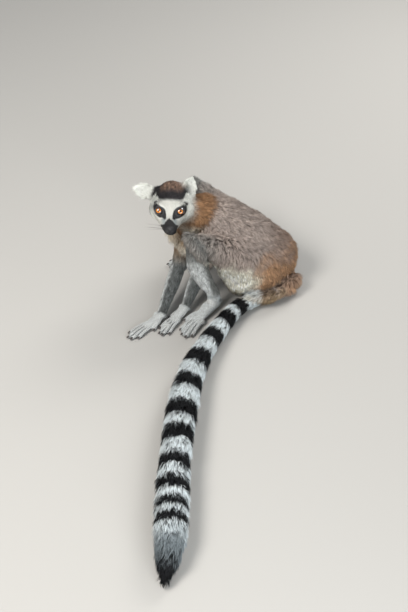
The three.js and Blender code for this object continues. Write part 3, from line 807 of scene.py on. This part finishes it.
def limb_marks(p, name):
    """The colour of a leg, an arm or a paw, by the place along it and round it."""
    start, axis, reach = bone(name)
    run = np.clip((p - start) @ axis / reach, 0, 1)
    off = unit((p - start) - ((p - start) @ axis)[:, None] * axis)
    kind = kind_of(name)
    if kind == "thigh":
        x, _, z = (p * 1000 - SOURCE_ORIGIN).T
        tint = mixed(np.broadcast_to(BACK, p.shape), LIMB, 0.6 * smooth_step(run, 0.55, 0.95))
        blur = rust_blur(p)
        rust = smooth_step(x + blur, -66, -34) * (1 - smooth_step(z + blur, 66, 100))
        tint = mixed(tint, RUST, 0.8 * rust)
        edge = 97 - 0.40 * (x + 81) + 7 * ripple(p, 0.03, 41)
        low = (1 - smooth_step(z - edge, -9, 9)) * (1 - smooth_step(x + 0.5 * blur, -50, -26))
        tint = mixed(tint, CREAM, low)
        return mixed(tint, TAN, 0.6 * (1 - smooth_step(z, 26, 46)))
    if kind == "shin":
        # painted rim light: the shin's front edge, a little towards the near side, is painted pale
        front = smooth_step(-off[:, 0] - 0.25 * off[:, 1], 0.15, 0.65)
        front *= smooth_step(run, 0.02, 0.40)
        return mixed(np.broadcast_to(LIMB, p.shape), PAINTED_RIM_LIGHT, 0.9 * front)
    if kind == "upper_arm":
        return mixed(np.broadcast_to(ARM, p.shape), LIMB, smooth_step(run, 0.45, 1.0))
    if kind == "forearm":
        # painted rim light: the forearm's front edge is painted pale
        front = smooth_step(-off[:, 0], 0.35, 0.85)
        # the forearm's darker grey is partly painted shade
        return mixed(np.broadcast_to(FOREARM, p.shape), PAINTED_RIM_LIGHT, 0.6 * front)
    under = smooth_step(-(p[:, 2] - 0.0035), 0, 0.0015)
    return mixed(np.broadcast_to(PAW, p.shape), LEATHER, under)


def markings(points, weights, shift=0.0):
    """The colour of skin and coat at these places; shift moves the tail's bands, in millimetres."""
    tint = np.zeros((len(points), 3))
    for name, k in PART.items():
        chosen = weights[:, k] > 0.01
        if not chosen.any():
            continue
        p = points[chosen]
        kind = PART_KIND[k]
        if kind == "head":
            part = head_marks(in_head(p))
        elif kind == "ear":
            part = ear_marks(in_head(p), name[4:])
        elif kind == "tail":
            moved = shift[chosen] if np.ndim(shift) else shift
            part = tail_marks(tail_length[along_tail(p)] * 1000 + moved)
        elif kind == "trunk":
            part = trunk_marks(p)
        elif kind == "neck":
            part = neck_marks(p)
        else:
            part = limb_marks(p, name)
        tint[chosen] += part * weights[chosen, k][:, None]
    return tint / np.maximum(weights.sum(axis=1), 1e-6)[:, None]


# ---- finishes ------------------------------------------------------------------------------------------
class Flow:
    """A value in a material's nodes that sums can be written with."""

    def __init__(self, finish, socket):
        self.finish = finish
        self.socket = socket

    def _sum(self, kind, *values):
        return self.finish.node("Math", {"operation": kind}, dict(enumerate(values)))

    def __add__(self, other):
        return self._sum("ADD", self, other)

    def __radd__(self, other):
        return self._sum("ADD", other, self)

    def __sub__(self, other):
        return self._sum("SUBTRACT", self, other)

    def __rsub__(self, other):
        return self._sum("SUBTRACT", other, self)

    def __mul__(self, other):
        return self._sum("MULTIPLY", self, other)

    def __rmul__(self, other):
        return self._sum("MULTIPLY", other, self)

    def __truediv__(self, other):
        return self._sum("DIVIDE", self, other)

    def __pow__(self, other):
        return self._sum("POWER", self, other)


class Finish:
    """A material whose nodes are written as sums."""

    def __init__(self, name):
        self.material = bpy.data.materials.new(name)
        self.material.use_nodes = True
        self.tree = self.material.node_tree
        self.shader = next(n for n in self.tree.nodes if n.type == "BSDF_PRINCIPLED")

    def node(self, kind, settings, values, result=0):
        made = self.tree.nodes.new("ShaderNode" + kind)
        for key, value in settings.items():
            if key == "stops":
                while len(made.color_ramp.elements) < len(value):
                    made.color_ramp.elements.new(0.5)
                for stop, (place, colour) in zip(made.color_ramp.elements, value):
                    stop.position, stop.color = place, (*colour, 1)
            else:
                setattr(made, key, value)
        for key, value in values.items():
            if isinstance(value, Flow):
                self.tree.links.new(value.socket, made.inputs[key])
            else:
                made.inputs[key].default_value = value
        return Flow(self, made.outputs[result])

    def set(self, **values):
        for key, value in values.items():
            socket = self.shader.inputs[key.replace("_", " ")]
            if isinstance(value, Flow):
                self.tree.links.new(value.socket, socket)
            else:
                socket.default_value = value
        return self

    def step(self, value, low, high):
        values = {"Value": value, "From Min": low, "From Max": high}
        return self.node("MapRange", {"interpolation_type": "SMOOTHSTEP"}, values)

    def blend(self, share, first, second, kind="MIX"):
        settings = {"data_type": "RGBA", "blend_type": kind}
        return self.node("Mix", settings, {0: share, 6: first, 7: second}, 2)

    def noise(self, place, scale, detail=2.0, rough=0.5):
        values = {"Vector": place, "Scale": scale, "Detail": detail, "Roughness": rough}
        return self.node("TexNoise", {}, values, 0)

    def attribute(self, name, result="Color"):
        return self.node("Attribute", {"attribute_name": name}, {}, result)

    def own_place(self):
        return self.node("TexCoord", {}, {}, "Object")

    def bump(self, height, strength, distance):
        values = {"Strength": strength, "Distance": distance, "Height": height}
        return self.node("Bump", {}, values, "Normal")


def coat_finish():
    """Each lock in its own colour, with painted shade darkening it towards its root."""
    f = Finish("coat")
    tint = f.attribute("tint")
    along = f.attribute("tint", "Alpha")
    # painted shade: each lock's colour darkens towards its root, as if shaded by the coat around it
    shade = f.step(along, 0.0, 0.75)
    dark = f.blend(1.0, tint, (0.50, 0.48, 0.46, 1), "MULTIPLY")
    f.set(Base_Color=f.blend(shade, dark, tint), Roughness=0.72, Specular_IOR_Level=0.25)
    return f.material


def skin_finish():
    """Underwool in the coat's colours, darkened as painted shade under the locks, and grained leather
    where the skin is bare.
    """
    f = Finish("skin")
    place = f.own_place()
    tint = f.attribute("tint")
    bare = f.attribute("bare", "Fac")
    grain = f.noise(place, 900.0, 3.0, 0.6)
    pebble = f.noise(place, 1700.0, 1.0, 0.4)
    # painted shade: the skin under the coat is darkened, as if shaded by the locks over it
    shaded_under_coat = f.blend(1.0, tint, (0.62, 0.60, 0.58, 1), "MULTIPLY")
    colour = f.blend(bare, shaded_under_coat, tint)
    colour = f.blend(grain * 0.35, colour, (0.02, 0.018, 0.017, 1))
    f.set(Base_Color=colour, Roughness=0.82 - bare * 0.24)
    f.set(Normal=f.bump(grain * 0.6 + pebble * 0.4, 0.5, 0.0004))
    return f.material


def eye_finish():
    """Amber iris with dark spokes, a round pupil, a dark rim and a brown eyeball behind."""
    f = Finish("amber_eye")
    place = f.attribute("iris_place", "Vector")
    x, y = (f.node("SeparateXYZ", {}, {0: place}, result) for result in ("X", "Y"))
    reach = (x * x + y * y) ** 0.5
    ray = f.node("CombineXYZ", {}, {"X": x / (reach + 0.01), "Y": y / (reach + 0.01), "Z": reach * 0.6})
    spokes = f.noise(ray, 9.0, 3.0, 0.6)
    stops = [(0.0, (0.36, 0.11, 0.010)), (0.5, (0.60, 0.20, 0.015)), (1.0, (0.24, 0.07, 0.008))]
    amber = f.node("ValToRGB", {"stops": stops}, {"Fac": f.step(reach, 0.16, 0.54)}, 0)
    amber = f.blend(f.step(spokes, 0.45, 0.75) * 0.55, amber, (0.16, 0.04, 0.006, 1))
    amber = f.blend(f.step(reach, 0.43, 0.52), amber, (0.012, 0.008, 0.006, 1))
    pupil = 1 - f.step(reach, 0.185, 0.215)
    f.set(Base_Color=f.blend(pupil, amber, (0.002, 0.002, 0.002, 1)))
    f.set(Roughness=0.12, Coat_Weight=1.0, Coat_Roughness=0.02)
    return f.material


def plain_finish(name, colour, roughness, coat=0.0):
    f = Finish(name)
    f.set(Base_Color=(*colour, 1), Roughness=roughness, Coat_Weight=coat)
    return f.material


COAT_HAIR, SKIN, IRIS = coat_finish(), skin_finish(), eye_finish()
HORN = plain_finish("horn", tone(58, 52, 50), 0.42)
BRISTLE = plain_finish("bristle", tone(40, 38, 38), 0.5)
FLOOR = plain_finish("pale_floor", tone(168, 166, 162), 0.85)


# ---- the skin's piece ----------------------------------------------------------------------------------
def add_tint(mesh, tint, along):
    """Stores each point's colour on the mesh, with how far along its lock it lies."""
    layer = mesh.attributes.new("tint", "FLOAT_COLOR", "POINT")
    along = np.broadcast_to(np.asarray(along, float).reshape(-1, 1), (len(tint), 1))
    rgba = np.concatenate((tint, along), axis=1)
    layer.data.foreach_set("color", rgba.astype(np.float32).ravel())


def bareness(q):
    """1 on the leather of the nose and the lids."""
    nose = smooth_step(q[:, 1], 59, 62) * (np.linalg.norm(q - (0, 62, -10), axis=1) < 14)
    lids = np.zeros(len(q))
    for side in SIDES:
        _, reach, angle, _ = eye_offsets(q, side)
        close = reach < EYE_RADIUS + 3
        lids = np.maximum(lids, close * (1 - smooth_step(angle, 0.95, 1.1)))
    return np.maximum(nose, lids)


SKIN_BAND_SHIFT = 10.0  # millimetres: the locks of a band root this far before it

skin_mesh.name = "skin"
skin = piece_of("skin", skin_mesh)
skin_mesh.shade_smooth()
skin_mesh.materials.clear()
skin_mesh.materials.append(SKIN)
skin_bare = bareness(in_head(skin_points))
skin_clefts = groove_share(skin_points)
skin_tint = markings(skin_points, skin_weights, SKIN_BAND_SHIFT)
# the clefts between the digits darkened towards the leather's colour: partly the bare skin there, partly
# painted shade in the recess
add_tint(skin_mesh, mixed(skin_tint, LEATHER, 0.75 * skin_clefts), 1.0)
bare_layer = skin_mesh.attributes.new("bare", "FLOAT", "POINT")
bare_layer.data.foreach_set("value", skin_bare.astype(np.float32))
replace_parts(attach(skin, "root"), *FLESH)


# ---- the eyes ------------------------------------------------------------------------------------------
CORNEA_BULGE = 0.055


def make_eyeball(side):
    """A ball with a bulging cornea, turned along its gaze."""
    bm = bmesh.new()
    bmesh.ops.create_uvsphere(bm, u_segments=48, v_segments=32, radius=1.0)
    gaze = head_direction(GAZE[side])
    across = unit(np.cross(gaze, (0, 0, 1)))
    axes = np.array((across, np.cross(across, gaze), gaze))
    centre = from_head(np.array(EYE_PLACE[side]))
    places = []
    for v in bm.verts:
        local = np.array(v.co)
        bulge = 1 + CORNEA_BULGE * smooth_step(local[2], 0.66, 0.95)
        places.append(local)
        v.co = Vector(centre + local @ axes * EYE_RADIUS * HEAD_SCALE * bulge / 1000)
    bm.normal_update()
    bmesh.ops.recalc_face_normals(bm, faces=bm.faces)
    eye = new_piece(f"eyeball_{side}", bm)
    layer = eye.data.attributes.new("iris_place", "FLOAT_VECTOR", "POINT")
    layer.data.foreach_set("vector", np.array(places, np.float32).ravel())
    eye.data.materials.append(IRIS)
    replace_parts(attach(eye, "root"), f"eye_{side}")


for side in SIDES:
    make_eyeball(side)


# ---- nails and whiskers --------------------------------------------------------------------------------
NAIL = (0.0034, 0.0019, 0.0011)  # half a nail's length, width and thickness
NAIL_SLOPE = 0.35  # how steeply it points down


def make_nails():
    """A flat nail on the end of each digit."""
    bm = bmesh.new()
    for name in PAWS:
        _, axes = paw_frame(name)
        for base, tip, thick in DIGITS[kind_of(name)]:
            line = unit(np.array(tip, float) - np.array(base, float))
            place = from_paw((*(np.array(tip) + line * thick * 0.55), thick * 1.05), name)
            forward = unit(line[0] * axes[0] + line[1] * axes[1] - NAIL_SLOPE * axes[2])
            across = unit(np.cross((0, 0, 1), forward))
            turn = Matrix((forward, across, np.cross(forward, across))).transposed().to_4x4()
            size = Matrix.Diagonal((*NAIL, 1))
            where = Matrix.Translation(Vector(place)) @ turn @ size
            bmesh.ops.create_uvsphere(bm, u_segments=14, v_segments=9, radius=1.0, matrix=where)
    bmesh.ops.recalc_face_normals(bm, faces=bm.faces)
    nails = new_piece("nails", bm)
    nails.data.materials.append(HORN)
    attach(nails, "root")


WHISKER_ROOTS = [
    (9, 50, -10), (10, 47, -13), (9.5, 53, -14), (11, 44, -16), (8, 56, -12), (9, 50, -17),
]
WHISKER, BROW_WHISKER = 24, 16  # their lengths
WHISKER_THICK = 0.16  # at the root, from the middle out
WHISKER_STEPS = 5


def make_whiskers():
    """Thin bristles that sweep back from the lips and one pair above each eye."""
    bm = bmesh.new()
    starts = [(x * s, y, z, s, WHISKER) for x, y, z in WHISKER_ROOTS for s in (1, -1)]
    starts += [(15 * s + d, 29, 16, s, BROW_WHISKER) for s in (1, -1) for d in (-1.5, 1.5)]
    for x, y, z, s, reach in starts:
        x -= muzzle_swing(y)
        turn = rng.uniform(-0.2, 0.2, 3)
        out = unit(np.array((0.85 * s, 0.15, 0.1 if z < 0 else 0.8)) + turn)
        back = np.array((0.25 * s, -0.5, -0.25 if z < 0 else 0.1))
        start = np.array((x, y, z))
        steps = np.linspace(0, 1, WHISKER_STEPS + 1)
        places = [start + out * reach * t + back * reach * t * t for t in steps]
        rings = []
        for k, place in enumerate(places):
            thick = WHISKER_THICK * (1 - 0.8 * k / WHISKER_STEPS)
            ahead = unit(places[min(k + 1, WHISKER_STEPS)] - places[max(k - 1, 0)])
            side = unit(np.cross(ahead, (0, 0.3, 1)))
            up = np.cross(side, ahead)
            spots = [place + thick * (side * math.cos(a) + up * math.sin(a)) for a in (0, 2.094, 4.189)]
            rings.append([bm.verts.new(from_head(spot)) for spot in spots])
        for low, high in zip(rings, rings[1:]):
            for c in range(3):
                bm.faces.new((low[c], low[(c + 1) % 3], high[(c + 1) % 3], high[c]))
        bm.faces.new(rings[-1])
        bm.faces.new(rings[0][::-1])
    bmesh.ops.recalc_face_normals(bm, faces=bm.faces)
    whiskers = new_piece("whiskers", bm)
    whiskers.data.materials.append(BRISTLE)
    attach(whiskers, "root")


make_nails()
make_whiskers()


# ---- the coat ------------------------------------------------------------------------------------------
# For each kind of part: the locks' length and width in millimetres, how many stand on a square
# millimetre, how far their tips gather into points, how unruly they are, and how much their tones differ.
# coat_style() then gives the head, the ears and the tail measures that change from place to place.
COAT = {
    "trunk": (19, 1.05, 0.61, 0.50, 0.42, 0.32),
    "neck": (17, 0.95, 0.74, 0.50, 0.24, 0.26),
    "thigh": (16, 0.98, 0.66, 0.50, 0.42, 0.34),
    "shin": (9, 0.75, 0.85, 0.25, 0.18, 0.44),
    "foot": (5.0, 0.58, 1.6, 0.20, 0.16, 0.12),
    "upper_arm": (12, 0.80, 0.90, 0.35, 0.20, 0.28),
    "forearm": (9, 0.80, 0.92, 0.35, 0.18, 0.52),
    "hand": (4.2, 0.52, 1.75, 0.20, 0.16, 0.12),
    "ear": (5, 0.50, 2.2, 0.35, 0.20, 0.08),
    "tail": (27, 1.08, 0.68, 0.55, 0.15, 0.10),
    "head": (9, 0.60, 1.8, 0.35, 0.14, 0.10),
}
STYLE = ("length", "width", "number", "gather", "unruly", "varied")
SHORT = 4.6 / 1000  # a lock below this length is straight; the others bend in the middle
PATCH = 0.003  # a lock's own place on the coat's map
CLUMP = 11  # locks that lean together
PIECE_LIMIT = 190000  # triangles in one piece
ROOT_SINK = 0.0004  # how far a lock's root lies under the skin
FLOOR_GAP = 0.0004  # no lock goes lower than this
LOCK_SHARE = (0.50, 0.46)  # a lock's half thickness at its root and at its bend, as a share of its width
EAR_FRINGE = {"left": 1.5, "right": 8}  # how much longer the hair is towards the ear's rim


def coat_style(points, weights):
    """The coat's measures at each point of the skin, by name."""
    style = {}
    for i, name in enumerate(STYLE):
        style[name] = by_part(weights, {kind: measures[i] for kind, measures in COAT.items()})
    q = in_head(points)
    x, y, z = q.T
    head = weights[:, PART["head"]]
    back = 1 - smooth_step(y, -8, 34)
    cheek = smooth_step(np.abs(x), 15, 27) * smooth_step(-z, -8, 6) * (1 - smooth_step(y, 18, 34))
    brow = 1 - smooth_step(y, 36, 43)
    style["length"] += head * (2.2 + 1.0 * brow + 7.5 * back + 4.5 * cheek - COAT["head"][0])
    style["varied"] += head * (0.06 * brow)
    crown = smooth_step(z, 18, 24)
    style["varied"] += head * (0.35 * crown)
    style["gather"] += head * (0.2 * crown)
    style["width"] += head * (0.36 + 0.34 * back - COAT["head"][1])
    style["number"] += head * (3.9 - 2.65 * back - COAT["head"][2])
    for side in SIDES:
        reach = ear_reach(q, side)
        ear = weights[:, PART[f"ear_{side}"]]
        style["length"] += ear * EAR_FRINGE[side] * smooth_step(reach, 0.15, 0.6)
    station = tail_length[along_tail(points)]
    tail = tail_share(weights)
    style["length"] -= tail * 14 * (1 - smooth_step(station, 0.06, 0.34))
    style["length"] -= tail * 15 * smooth_step(station, 0.655, 0.70)
    style["number"] *= 1 - 0.97 * (skin_bare > 0.4)
    under = (points[:, 2] < 0.004) & (skin_normals[:, 2] < -0.5)
    style["number"] *= np.where(under, 0.12, 1.0) * (1 - 0.9 * smooth_step(skin_clefts, 0.3, 0.7))
    return style


def over_knee(normals, side):
    """Forwards where the knee faces up, and down its sides."""
    top = np.clip(normals[:, 2], 0, 1)[:, None]
    forwards = np.array(OVER_KNEE[side]) * (0.25 + 0.75 * top)
    return unit(forwards + np.array((0, 0, -1.0)) * (1 - 0.8 * top))


def laid(way, normals):
    """Directions pressed down onto the skin."""
    return way - normals * (way * normals).sum(axis=1, keepdims=True)


def lie_of_hair(points, normals, weights):
    """Which way the hair lies along the skin at each point."""
    q = in_head(points)
    way = np.zeros_like(points)
    for name, k in PART.items():
        kind = PART_KIND[k]
        if kind == "tail":
            own = tail_tangent[along_tail(points)]
        elif kind == "head":
            own = unit(q - np.array((0, 68, -9))) + np.array((0, -0.35, 0))
            own = own @ HEAD_AXES
        elif kind == "ear":
            side = name[4:]
            spread = unit(q - np.array(EAR_ROOT[side]))
            own = (spread * 0.5 + unit(EAR_AXIS[side])) @ HEAD_AXES
        elif kind == "thigh":
            start, axis, reach = bone(name)
            over = smooth_step((points - start) @ axis / reach, 0.30, 0.80)[:, None]
            own = np.array(LIE[name]) * (1 - over) + over_knee(normals, name[6:]) * over
        elif name in LIE:
            own = np.broadcast_to(LIE[name], points.shape)
        else:
            start, axis, reach = bone(name)
            own = np.broadcast_to(axis, points.shape)
            if kind == "shin":
                high = 1 - smooth_step((points - start) @ axis / reach, 0.0, 0.3)
                own = own + over_knee(normals, name[5:]) * high[:, None] * 2
        way += unit(own) * weights[:, k][:, None]
    for _ in range(3):
        way = unit(relaxed(laid(way, normals), skin_edges, 6))
    return unit(laid(way, normals))


def sow(number):
    """Roots over the skin: their triangles and their places in them, number to the square millimetre."""
    a, b, c = (skin_points[skin_triangles[:, k]] for k in range(3))
    area = np.linalg.norm(np.cross(b - a, c - a), axis=1) * 0.5e6
    wanted = area * number[skin_triangles].mean(axis=1) * COAT_SHARE
    total = np.floor(np.cumsum(wanted) + 0.5).astype(int)
    count = np.diff(np.concatenate(([0], total)))
    chosen = np.repeat(np.arange(len(count)), count)
    u, v = rng.random((2, len(chosen)))
    fold = u + v > 1
    u, v = np.where(fold, 1 - u, u), np.where(fold, 1 - v, v)
    return skin_triangles[chosen], np.stack((1 - u - v, u, v), axis=1)


def at_roots(values, corners, shares):
    """The skin's values at the roots, from the corners of their triangles."""
    return np.einsum("nk,nk...->n...", shares, values[corners])


CHART_EDGE = 0.004  # the empty edge round each rectangle of the coat's map


def lay_out_charts():
    """Each part's own rectangle on the coat's map: left, bottom, width and height."""
    rows = [
        (0.30, ["trunk", "head", "neck"]),
        (0.24, ["thigh_left", "thigh_right", "tail_1", "tail_2"]),
        (0.22, ["tail_3", "tail_4", "tail_5", "upper_arm_left", "upper_arm_right"]),
    ]
    rest = [n for n in FLESH if n not in sum((names for _, names in rows), [])]
    rows.append((0.24, rest))
    charts, low = {}, 0.0
    for height, names in rows:
        wide = 1 / len(names)
        for i, name in enumerate(names):
            corner = (i / len(names) + CHART_EDGE, low + CHART_EDGE)
            charts[name] = (*corner, wide - 2 * CHART_EDGE, height - 2 * CHART_EDGE)
        low += height
    return charts


def chart_axis(name):
    """The axis a part is unrolled about: its start, its direction and its length."""
    if name == "head":
        start, end = from_head((0, -38, 4)), from_head((0, 68, -6))
    elif name.startswith("ear"):
        root = np.array(EAR_ROOT[name[4:]])
        start, end = from_head(root), from_head(root + unit(EAR_AXIS[name[4:]]) * 38)
    else:
        return bone(name)
    return start, unit(end - start), np.linalg.norm(end - start)


def unrolled(points, owner):
    """Each root's place on the coat's map: its part unrolled about its own axis."""
    place = np.zeros((len(points), 2))
    charts = lay_out_charts()
    for name, k in PART.items():
        chosen = owner == k
        p = points[chosen]
        if name.startswith("tail"):
            station = along_tail(p)
            axis, off = tail_tangent[station], p - tail_line[station]
            run = tail_length[station] / tail_length[-1] * 5 - (int(name[5:]) - 1)
        else:
            start, axis, reach = chart_axis(name)
            off = p - start
            run = (off @ axis / reach + 0.2) / 1.4
            axis = np.broadcast_to(axis, p.shape)
        across = unit(np.cross(axis, (0.3, 0.2, 0.93)))
        turn = np.arctan2((off * np.cross(axis, across)).sum(axis=1), (off * across).sum(axis=1))
        left, low, wide, high = charts[name]
        place[chosen, 0] = left + wide * (turn / math.tau + 0.5)
        place[chosen, 1] = low + high * np.clip(run, 0, 1)
    return place


def lock_lines(r, segments):
    """The locks' middle lines: they rise from the skin, bend over and gather with their neighbours."""
    t = np.linspace(0, 1, segments + 1)[:, None, None]
    run = np.sqrt(np.maximum(r["length"] ** 2 - r["rise"] ** 2, (0.4 * r["length"]) ** 2))
    lift = r["rise"][:, None] * r["normal"]
    lay = run[:, None] * r["way"]
    line = r["root"] - ROOT_SINK * r["normal"] + lay * t**1.15 + lift * (1 - (1 - t) ** 2)
    return line + r["pull"] * t**1.6 + r["bend"] * (t * (1 - t))


def lock_points(r, segments):
    """Each lock's points: three round its middle line at every step, and one at its tip."""
    line = lock_lines(r, segments)
    tip_tangent = unit(line[-1] - line[0])
    side = unit(np.cross(tip_tangent, r["normal"]))
    up = np.cross(side, tip_tangent)
    rings = []
    for k in range(segments):
        thick = r["width"] * LOCK_SHARE[k]
        for corner in range(3):
            angle = math.tau * corner / 3 + 0.5
            spread = side * math.cos(angle) + up * (0.6 * math.sin(angle))
            rings.append(line[k] + spread * thick[:, None])
    rings.append(line[-1])
    points = np.stack(rings, axis=1)
    points[:, :, 2] = np.maximum(points[:, :, 2], FLOOR_GAP)
    return points


def lock_faces(segments):
    """One lock's faces: their corners in a row, where each face starts, and the corners' map places."""
    # lock_points() goes round a lock clockwise, seen from its tip, so the faces run up one side first.
    loops, starts, uv = [], [], []
    for k in range(segments - 1):
        for c in range(3):
            d = (c + 1) % 3
            starts.append(len(loops))
            loops += [3 * k + c, 3 * k + 3 + c, 3 * k + 3 + d, 3 * k + d]
            low, high = k / segments, (k + 1) / segments
            uv += [(c / 3, low), (c / 3, high), ((c + 1) / 3, high), ((c + 1) / 3, low)]
    for c in range(3):
        d = (c + 1) % 3
        starts.append(len(loops))
        loops += [3 * (segments - 1) + c, 3 * segments, 3 * (segments - 1) + d]
        low = (segments - 1) / segments
        uv += [(c / 3, low), ((c + 0.5) / 3, 1), ((c + 1) / 3, low)]
    return np.array(loops), np.array(starts), np.array(uv)


def build_locks(name, r, segments, finish):
    """One joined mesh of three-sided locks, each with its own patch of the coat's map."""
    points = lock_points(r, segments)
    count, per_lock = points.shape[:2]
    loops, starts, uv = lock_faces(segments)
    own = np.arange(count)[:, None]
    loop_points = (loops + own * per_lock).ravel()
    loop_starts = (starts + own * len(loops)).ravel()
    mesh = bpy.data.meshes.new(name)
    mesh.vertices.add(count * per_lock)
    mesh.vertices.foreach_set("co", points.astype(np.float32).ravel())
    mesh.loops.add(len(loop_points))
    mesh.loops.foreach_set("vertex_index", loop_points.astype(np.int32))
    mesh.polygons.add(len(loop_starts))
    mesh.polygons.foreach_set("loop_start", loop_starts.astype(np.int32))
    mesh.update(calc_edges=True)
    mesh.shade_smooth()
    along = np.array([k / segments for k in range(segments) for _ in range(3)] + [1.0])
    add_tint(mesh, np.repeat(r["tint"], per_lock, axis=0), np.tile(along, count))
    patches = mesh.uv_layers.new(name="OFBake")
    spots = r["map"][:, None, :] + (uv[None] - 0.5) * PATCH
    patches.data.foreach_set("uv", spots.astype(np.float32).ravel())
    mesh.materials.append(finish)
    piece = piece_of(name, mesh)
    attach(piece, "root")
    return count * (6 * (segments - 1) + 3)


def gathered(root, tip, chance):
    """The way from each lock's tip to the tip of its clump's leading lock, and which lock that is."""
    leaders = np.flatnonzero(chance < 1 / CLUMP)
    lead = leaders[nearest(tree_of(root[leaders]), root)]
    return tip[lead] - tip, lead


def lay_locks():
    """Which part each lock stands on, and all that build_locks() asks of the locks, by name."""
    style = coat_style(skin_points, skin_weights)
    way = lie_of_hair(skin_points, skin_normals, skin_weights)
    corners, shares = sow(style["number"])
    weights = at_roots(skin_weights, corners, shares)
    owner = weights.argmax(axis=1)
    r = {name: at_roots(values, corners, shares) for name, values in style.items()}
    root = at_roots(skin_points, corners, shares)
    normal = unit(at_roots(skin_normals, corners, shares))
    way = at_roots(way, corners, shares)
    depth = at_roots(skin_depth, corners, shares)
    chance = rng.random((6, len(root)))
    length = r["length"] * (0.75 + 0.4 * chance[0]) / 1000
    swell = ripple(root, 0.05, 3) * 0.8 + ripple(root, 0.018, 5) * 0.8
    turn = r["unruly"] * (swell + 1.6 * (chance[1] - 0.5))
    cross = np.cross(normal, way)
    way = unit(way * np.cos(turn)[:, None] + cross * np.sin(turn)[:, None])
    rise = depth * (0.62 + 0.38 * chance[2] + 0.14 * ripple(root, 0.02, 11))
    rise = np.minimum(rise, 0.85 * length)
    tip = root + way * np.sqrt(np.maximum(length**2 - rise**2, 0))[:, None] + normal * rise[:, None]
    pull, lead = gathered(root, tip, chance[3])
    far = np.linalg.norm(pull, axis=1) > 0.7 * length
    pull = pull * (r["gather"] * np.where(far, 0.0, 1.0))[:, None]
    pull -= normal * (pull * normal).sum(axis=1, keepdims=True) * 0.5
    station = tail_length[along_tail(root)]
    shift = length * 600 + (chance[2] - 0.5) * (3 + 16 * smooth_step(station, 0.60, 0.64))
    tint = markings(root, weights, shift)
    differing = 1.9 * (chance[4] - 0.5) + 0.8 * (chance[4][lead] - 0.5) + 0.35 * ripple(root, 0.014, 21)
    shade = 1 + r["varied"] * differing
    tint = np.clip(tint * np.maximum(shade, 0.15)[:, None], 0, 1)
    bend = cross * ((chance[5] - 0.5) * 0.9 * length)[:, None]
    return owner, {
        "root": root, "normal": normal, "way": way, "length": length, "rise": rise, "pull": pull,
        "bend": bend, "width": r["width"] * (0.8 + 0.4 * chance[1]) / 1000, "tint": tint,
        "map": unrolled(root, owner),
    }


def grow_coat():
    """Joins the locks of each kind of part, short and long ones apart, into pieces under the limit."""
    owner, locks = lay_locks()
    total = 0
    for kind in COAT:
        members = np.flatnonzero(np.array([k == kind for k in PART_KIND])[owner])
        members = members[np.argsort(owner[members], kind="stable")]
        straight = locks["length"][members] < SHORT
        for segments, word, order in ((1, "short", members[straight]), (2, "long", members[~straight])):
            pieces = math.ceil(len(order) * (6 * segments - 3) / PIECE_LIMIT)
            for n, part in enumerate(np.array_split(order, max(1, pieces))):
                if len(part):
                    chosen = {key: values[part] for key, values in locks.items()}
                    piece_name = f"coat_{kind}_{word}_{n + 1}"
                    total += build_locks(piece_name, chosen, segments, COAT_HAIR)
        print("coat", kind, len(members), straight.sum())
    print("coat triangles", total)


grow_coat()


# ---- floor, light and camera ---------------------------------------------------------------------------
FLOOR_HALF = 30.0
SKY = (0.86, 0.89, 0.92, 1)
SKY_STRENGTH = 0.48
CAMERA_PLACE = (-0.01931, -1.15300, 1.21969)
CAMERA_TILT = 48  # degrees up from straight down
CAMERA_LENS = 62.18


def make_floor():
    bm = bmesh.new()
    bmesh.ops.create_grid(bm, x_segments=1, y_segments=1, size=FLOOR_HALF)
    floor = new_piece("floor", bm, smooth=False)
    floor.data.materials.append(FLOOR)


def add_light(name, place, target, size, power, colour):
    data = bpy.data.lights.new(name, "AREA")
    data.shape, data.size, data.energy, data.color = "DISK", size, power, colour
    light = bpy.data.objects.new(name, data)
    light.location = place
    light.rotation_euler = (Vector(target) - Vector(place)).to_track_quat("-Z", "Y").to_euler()
    bpy.context.scene.collection.objects.link(light)


def set_stage():
    """The floor, three lights, a pale sky and the camera."""
    make_floor()
    middle = (0.0, 0.0, 0.08)
    add_light("key", (-1.1, -0.7, 1.7), middle, 0.9, 48, (1.0, 0.97, 0.93))
    add_light("fill", (0.5, -1.5, 0.55), middle, 1.2, 27, (0.95, 0.98, 1.0))
    add_light("back", (0.9, 1.3, 1.2), middle, 0.8, 20, (1.0, 0.98, 0.95))
    scene = bpy.context.scene
    world = bpy.data.worlds.new("studio")
    world.use_nodes = True
    sky = world.node_tree.nodes["Background"]
    sky.inputs["Color"].default_value = SKY
    sky.inputs["Strength"].default_value = SKY_STRENGTH
    scene.world = world
    scene.view_settings.view_transform = "Standard"
    data = bpy.data.cameras.new("camera")
    data.sensor_fit, data.sensor_width, data.sensor_height = "AUTO", 36, 36
    data.lens = CAMERA_LENS
    camera = bpy.data.objects.new("camera", data)
    camera.location = CAMERA_PLACE
    camera.rotation_euler = (math.radians(CAMERA_TILT), 0, 0)
    scene.collection.objects.link(camera)
    scene.camera = camera


set_stage()
